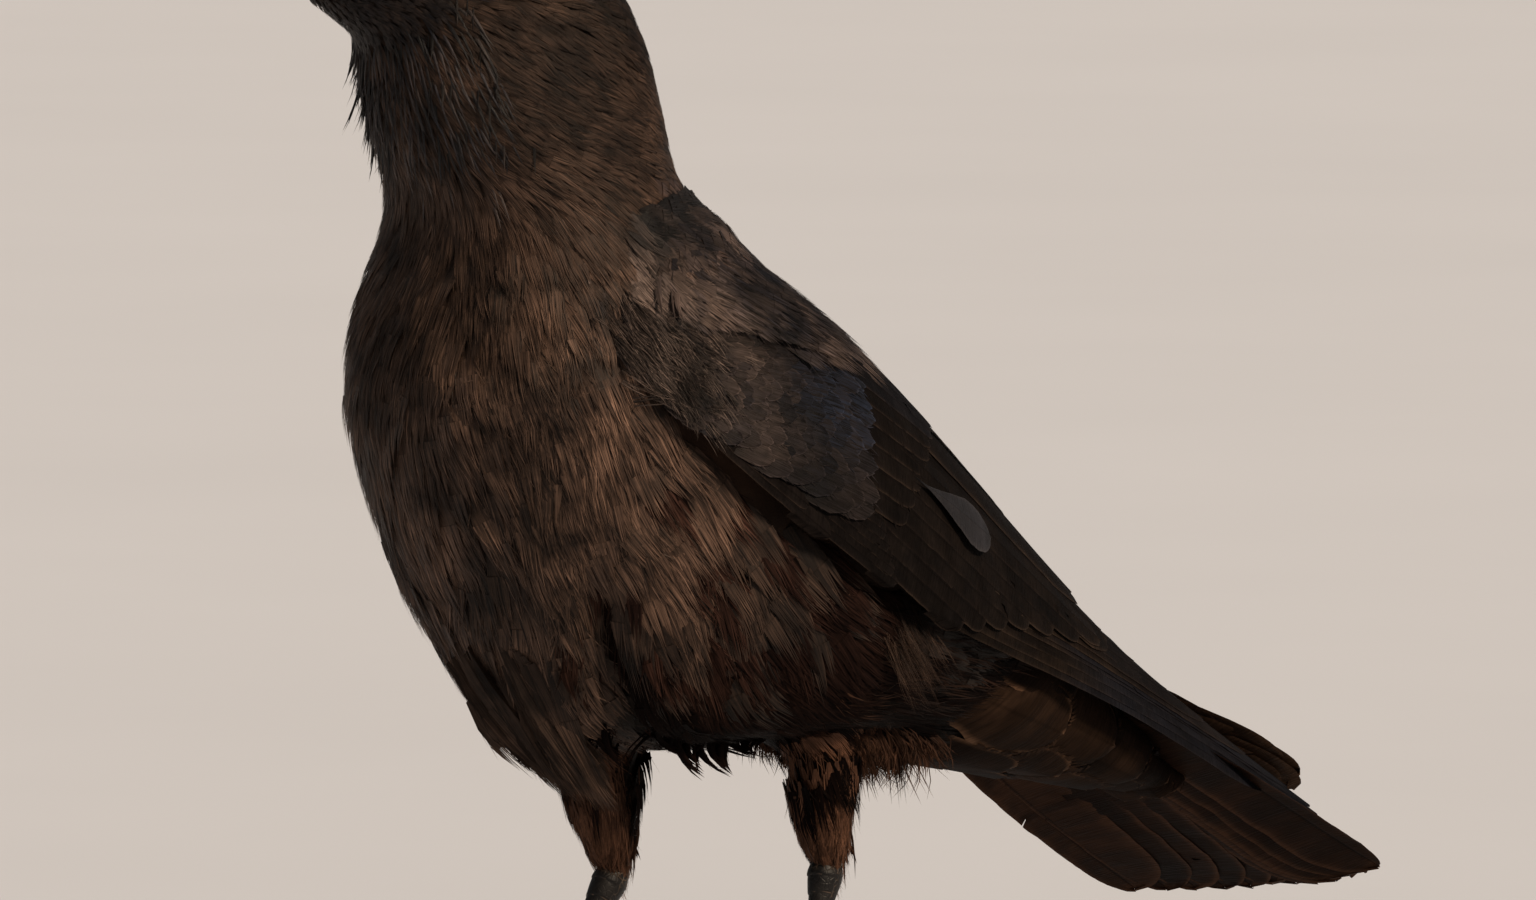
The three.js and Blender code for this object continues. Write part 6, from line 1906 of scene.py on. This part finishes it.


# bristles: over the nostrils
def bristles():
    r = np.random.default_rng(61)
    tpl = [spike_template(900 + i, stray=3, rows=4, power=0.6, fold=0.3) for i in range(6)]
    tree_at = lambda p: snap(p)
    roots, dirs, longs, norms, wide = [], [], [], [], []
    n = 260
    for side in (1, -1):
        for i in range(n):
            f = r.random()
            # nasal tuft: from the forehead's corner to the lores, all pointing forward along the bill
            ang = r.uniform(0.12, 1.45)
            y = BILL_BASE_Y + r.uniform(-0.35, 0.75)
            z0 = BILL_Z + 0.1 + 1.1 * np.cos(ang) * 0.95
            x0 = side * (0.2 + 0.72 * np.sin(ang))
            p = np.array([x0, y, z0])
            roots.append(turned(p))
            s_mid = 0.3
            aim_at = np.array([side * (0.08 + 0.58 * np.sin(ang)) * 0.84, y - 1.9, BILL_Z + 0.1 + 0.78 * np.cos(ang) * 0.9])
            dirs.append(unit(turned(aim_at) - turned(p)))
            nn = unit(np.array([side * np.sin(ang), -0.25, np.cos(ang) * 0.8]))
            norms.append(unit(turned(p + nn * 0.1) - turned(p)))
            longs.append((0.5 + 1.45 * r.random() ** 1.8) * (0.7 + 0.4 * np.sin(ang)))
            wide.append(0.035)
    roots, dirs, norms, longs, wide = [np.array(v) for v in (roots, dirs, norms, longs, wide)]
    pile = Pile()
    pick = r.integers(0, 6, len(roots))
    for j in range(6):
        m = pick == j
        c = int(m.sum())
        p0, d, nn, L = roots[m], dirs[m], norms[m], longs[m][:, None]
        d = unit(d + 0.05 * r.normal(size=(c, 3)))
        p1 = p0 + d * L * 0.5 + nn * r.uniform(0.04, 0.12, c)[:, None]
        p2 = p0 + d * L + nn * r.uniform(-0.1, 0.05, c)[:, None]
        bake = np.stack([0.1 + 0.8 * r.random(c), 0.1 + 0.8 * r.random(c)], -1)
        lay_feathers(pile, tpl[j], p0, p1, p2, nn, nn, nn, wide[m] * r.uniform(0.8, 1.3, c), r.normal(0, 0.3, c), np.full(c, 0.5), bake, np.stack([r.random(c), 0.05 + 0.06 * r.random(c), 0.5 * r.random(c), 0.3 * r.random(c)], -1))
    pile.build("nasal_bristles", MAT["head"], "body_feathers")


bristles()
# ------------------------------------------------------------------ legs and feet
def scaled_tube(name, replace, centre, across, up, rx, ry, sides, long, pattern, flat_z=None):
    """A limb: centre line and frames along it, radii, and pattern(t, a) -> (height in cm, scale random, edge height, pale)."""
    n = len(centre)
    a = np.linspace(0, 2 * np.pi, sides, endpoint=False)
    t = np.linspace(0, 1, n)
    T, A = np.meshgrid(t, a, indexing="ij")
    h, rnd, edge, pale = pattern(T, A)
    p = centre[:, None] + across[:, None] * ((rx[:, None] + h) * np.cos(A))[..., None] + up[:, None] * ((ry[:, None] + h) * np.sin(A))[..., None]
    if flat_z is not None:
        p[..., 2] = np.maximum(p[..., 2], flat_z)
    co = np.vstack([p.reshape(-1, 3), p[0].mean(0), p[-1].mean(0)])
    q = grid_faces(n, sides, True)
    j = np.arange(sides)
    k = (j + 1) % sides
    tr = np.vstack([np.stack([np.full(sides, n * sides), k, j], -1), np.stack([np.full(sides, n * sides + 1), (n - 1) * sides + j, (n - 1) * sides + k], -1)])
    q, tr = outward(co - p.reshape(-1, 3).mean(0), q, tr)
    fx = np.stack([rnd, edge, pale, 0.5 + 0 * rnd], -1).reshape(-1, 4)
    fx = np.vstack([fx, fx[:1], fx[-1:]])
    ob = make_mesh(name, co, [q, tr], fx=clamp(fx))
    return ob


def hashed(i, seed=0.0):
    return (np.sin(i * 12.9898 + seed * 78.233) * 43758.5453) % 1.0


def shank_pattern(T, A):
    # A: pi/2 points back, -pi/2 to the front
    front = smooth((-np.sin(A) + 0.35) / 0.5)
    n = 11
    ph = (1.04 - T) * 0 + T * n + 0.12 * np.cos(A)
    i, f = np.floor(ph), ph % 1.0
    scute = 0.028 * f**0.7 * (1 - smooth((f - 0.93) / 0.07))
    edge_f = np.minimum(1, (1 - f) / 0.16)
    # side line where the front scutes meet the long plates at the back
    seam = np.exp(-(((np.sin(A) - 0.12) / 0.1) ** 2))
    back = 1 - front
    ph2 = T * 5 + 0.3
    joint = smooth((0.16 - T) / 0.08) + smooth((T - 0.9) / 0.08)
    peb = 0.012 * np.sin(60 * T) * np.sin(9 * A) * joint
    h = front * scute * (1 - 0.6 * joint) - 0.018 * seam * (1 - joint) + back * 0.008 * np.sin(ph2 * 6) * 0.3 + peb
    edge = lerp(1.0, edge_f, front * (1 - 0.5 * joint)) * (1 - 0.6 * seam)
    return h, hashed(i, 1.0), edge, clamp(0.9 * joint + 0.5 * seam)


def toe_pattern(bumps):
    def pattern(T, A):
        top = smooth((np.sin(A) + 0.1) / 0.45)
        n = 4 + 3 * bumps
        ph = T * n
        i, f = np.floor(ph), ph % 1.0
        scute = 0.022 * f**0.7 * (1 - smooth((f - 0.9) / 0.1))
        under = 1 - top
        peb = 0.014 * (np.sin(T * 95) * np.sin(A * 11))
        pad = 0.0 * T
        return top * scute + under * (peb + pad), hashed(i, bumps), lerp(1.0, np.minimum(1, (1 - f) / 0.2), top), 0.5 * under

    return pattern


for leg_name, leg in LEGS.items():
    ankle, foot = np.array(leg["ankle"]), np.array(leg["foot"])
    d = foot - ankle
    at = lambda t: ankle + d * t
    pts = [at(-0.05), at(0.03), at(0.2), at(0.55), at(0.86), at(0.97), at(1.05)]
    radii = np.array([[0.32, 0.38], [0.4, 0.5], [0.26, 0.34], [0.235, 0.31], [0.28, 0.36], [0.4, 0.44], [0.26, 0.28]])
    n = 150
    t = np.linspace(0, 1, n)
    c = along(pts, t * 6)
    e = 1e-3
    dd = unit(along(pts, np.minimum(1, t + e) * 6) - along(pts, np.maximum(0, t - e) * 6))
    x = unit(np.array([1.0, 0, 0]) - dd * dd[:, :1])
    y = unit(np.cross(dd, x))
    if y[n // 2, 1] < 0:
        y = -y
    rr = along(radii, t * 6) * 0.985
    ob = scaled_tube("tarsus_" + leg_name, "shank_" + leg_name, c, x, y, rr[:, 0], rr[:, 1], 56, 1.0, shank_pattern)
    ob.data.materials.append(MAT["leg"])
    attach(ob, "root")
    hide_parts("shank_" + leg_name)
    for toe_name, toe in TOES.items():
        a = math.radians(toe["angle"] + leg["out"]) * leg["side"]
        dr = np.array([math.sin(a), -math.cos(a), 0.0])
        start = foot * np.array([1, 1, 0]) + dr * 0.24
        across = np.array([dr[1], -dr[0], 0.0])
        n = 100
        t = np.linspace(0, 1, n)
        pad = 0.035 * np.cos(2 * np.pi * toe["bumps"] * t)
        r_ = lerp(toe["r0"], toe["r1"], t) - pad
        arch = 0.2 * (1 - t) ** 3
        s = (toe["length"] - 0.24) * t
        c = start + dr * s[:, None]
        c[:, 2] = r_ * 0.86 + arch
        end = np.sqrt(np.clip(1 - ((t - 0.93) / 0.07) ** 2 * (t > 0.93) * 0.62, 0.2, 1)) * np.sqrt(np.clip(1 - ((0.05 - t) / 0.05) ** 2 * (t < 0.05) * 0.4, 0.3, 1))
        rx = (r_ * 0.97 - 0.005) * end
        ry = r_ * 0.97 * end
        ob = scaled_tube("toe_skin_" + toe_name + "_" + leg_name, "", c, np.broadcast_to(across, c.shape), np.broadcast_to(np.array([0, 0, 1.0]), c.shape), rx, ry, 40, 1.0, toe_pattern(toe["bumps"]), flat_z=0.0)
        ob.data.materials.append(MAT["leg"])
        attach(ob, "root")
        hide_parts("toe_" + toe_name + "_" + leg_name)
        # claw
        n = 40
        t = np.linspace(0, 1, n)
        r_ = lerp(0.175, 0.012, t**0.9)
        reach = toe["claw"] * np.sin(t * 1.15) / 1.15
        z = 0.26 + 0.07 * np.sin(np.pi * t) - 0.24 * t * t
        c = start + dr * (toe["length"] - 0.34 + reach)[:, None]
        c[:, 2] = np.maximum(z, r_ * 1.1 + 0.01)
        ob = scaled_tube("talon_" + toe_name + "_" + leg_name, "", c, np.broadcast_to(across, c.shape), np.broadcast_to(np.array([0, 0, 1.0]), c.shape), r_ * 0.72, r_ * 1.1, 24, 1.0, lambda T, A: (0 * T - 0.02 * np.exp(-(((np.sin(A) + 1) / 0.25) ** 2)) * (1 - T), 0 * T, 1 + 0 * T, 0 * T), flat_z=0.004)
        ob.data.materials.append(MAT["claw"])
        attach(ob, "root")
        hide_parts("claw_" + toe_name + "_" + leg_name)
# ------------------------------------------------------------------ stage, light, camera
def flat_material(name, colour, rough):
    m, nt, b = material(name)
    where = node(nt, "ShaderNodeTexCoord").outputs["Object"]
    n = noise(nt, where, 3.0, 3.0, 0.5)
    col = mix(nt, ramp(nt, n, 0.3, 0.7), colour, tuple(c * 0.97 for c in colour))
    nt.links.new(col, b.inputs["Base Color"])
    b.inputs["Roughness"].default_value = rough
    b.inputs["Specular IOR Level"].default_value = 0.2
    return m


floor = make_mesh("floor", np.array([[-6000, -6000 - SHIFT_Y, 0], [6000, -6000 - SHIFT_Y, 0], [6000, 6000 - SHIFT_Y, 0], [-6000, 6000 - SHIFT_Y, 0]], float), np.array([[0, 1, 2, 3]]), smooth_shade=False)
floor.data.materials.append(flat_material("studio_floor", (0.66, 0.68, 0.72), 0.85))

world = bpy.data.worlds.new("studio")
world.use_nodes = True
bg = world.node_tree.nodes["Background"]
bg.inputs[0].default_value = (0.92, 0.9, 0.88, 1)
bg.inputs[1].default_value = 0.2
bpy.context.scene.world = world

THETA, ELEV = math.radians(44), math.radians(5)
view_dir = Vector((math.cos(THETA) * math.cos(ELEV), -math.sin(THETA) * math.cos(ELEV), math.sin(ELEV)))
right_dir = Vector((math.sin(THETA), math.cos(THETA), 0))
aim = Vector((0, -0.0043, 0.166))


def sun(name, direction, strength, degrees, colour):
    l = bpy.data.lights.new(name, "SUN")
    l.energy, l.angle, l.color = strength, math.radians(degrees), colour
    o = bpy.data.objects.new(name, l)
    o.rotation_mode = "QUATERNION"
    o.rotation_quaternion = (-Vector(direction).normalized()).to_track_quat("-Z", "Y")
    bpy.context.scene.collection.objects.link(o)


sun("key", view_dir * 0.62 + right_dir * 0.8 + Vector((0, 0, 0.55)), 4.2, 12, (1.0, 0.80, 0.60))
sun("back", -view_dir * 0.7 - right_dir * 0.2 + Vector((0, 0, 0.9)), 0.5, 40, (0.85, 0.9, 1.0))

cam_data = bpy.data.cameras.new("camera")
cam_data.lens = 457.0
cam_data.sensor_width = 36.0
cam_data.clip_end = 100
cam = bpy.data.objects.new("camera", cam_data)
cam.location = aim + view_dir * 5.0
cam.rotation_mode = "QUATERNION"
cam.rotation_quaternion = (-view_dir).to_track_quat("-Z", "Y")
bpy.context.scene.collection.objects.link(cam)
bpy.context.scene.camera = cam
bpy.context.scene.view_settings.view_transform = "Standard"
bpy.context.scene.view_settings.look = "None"

bpy.context.view_layer.update()
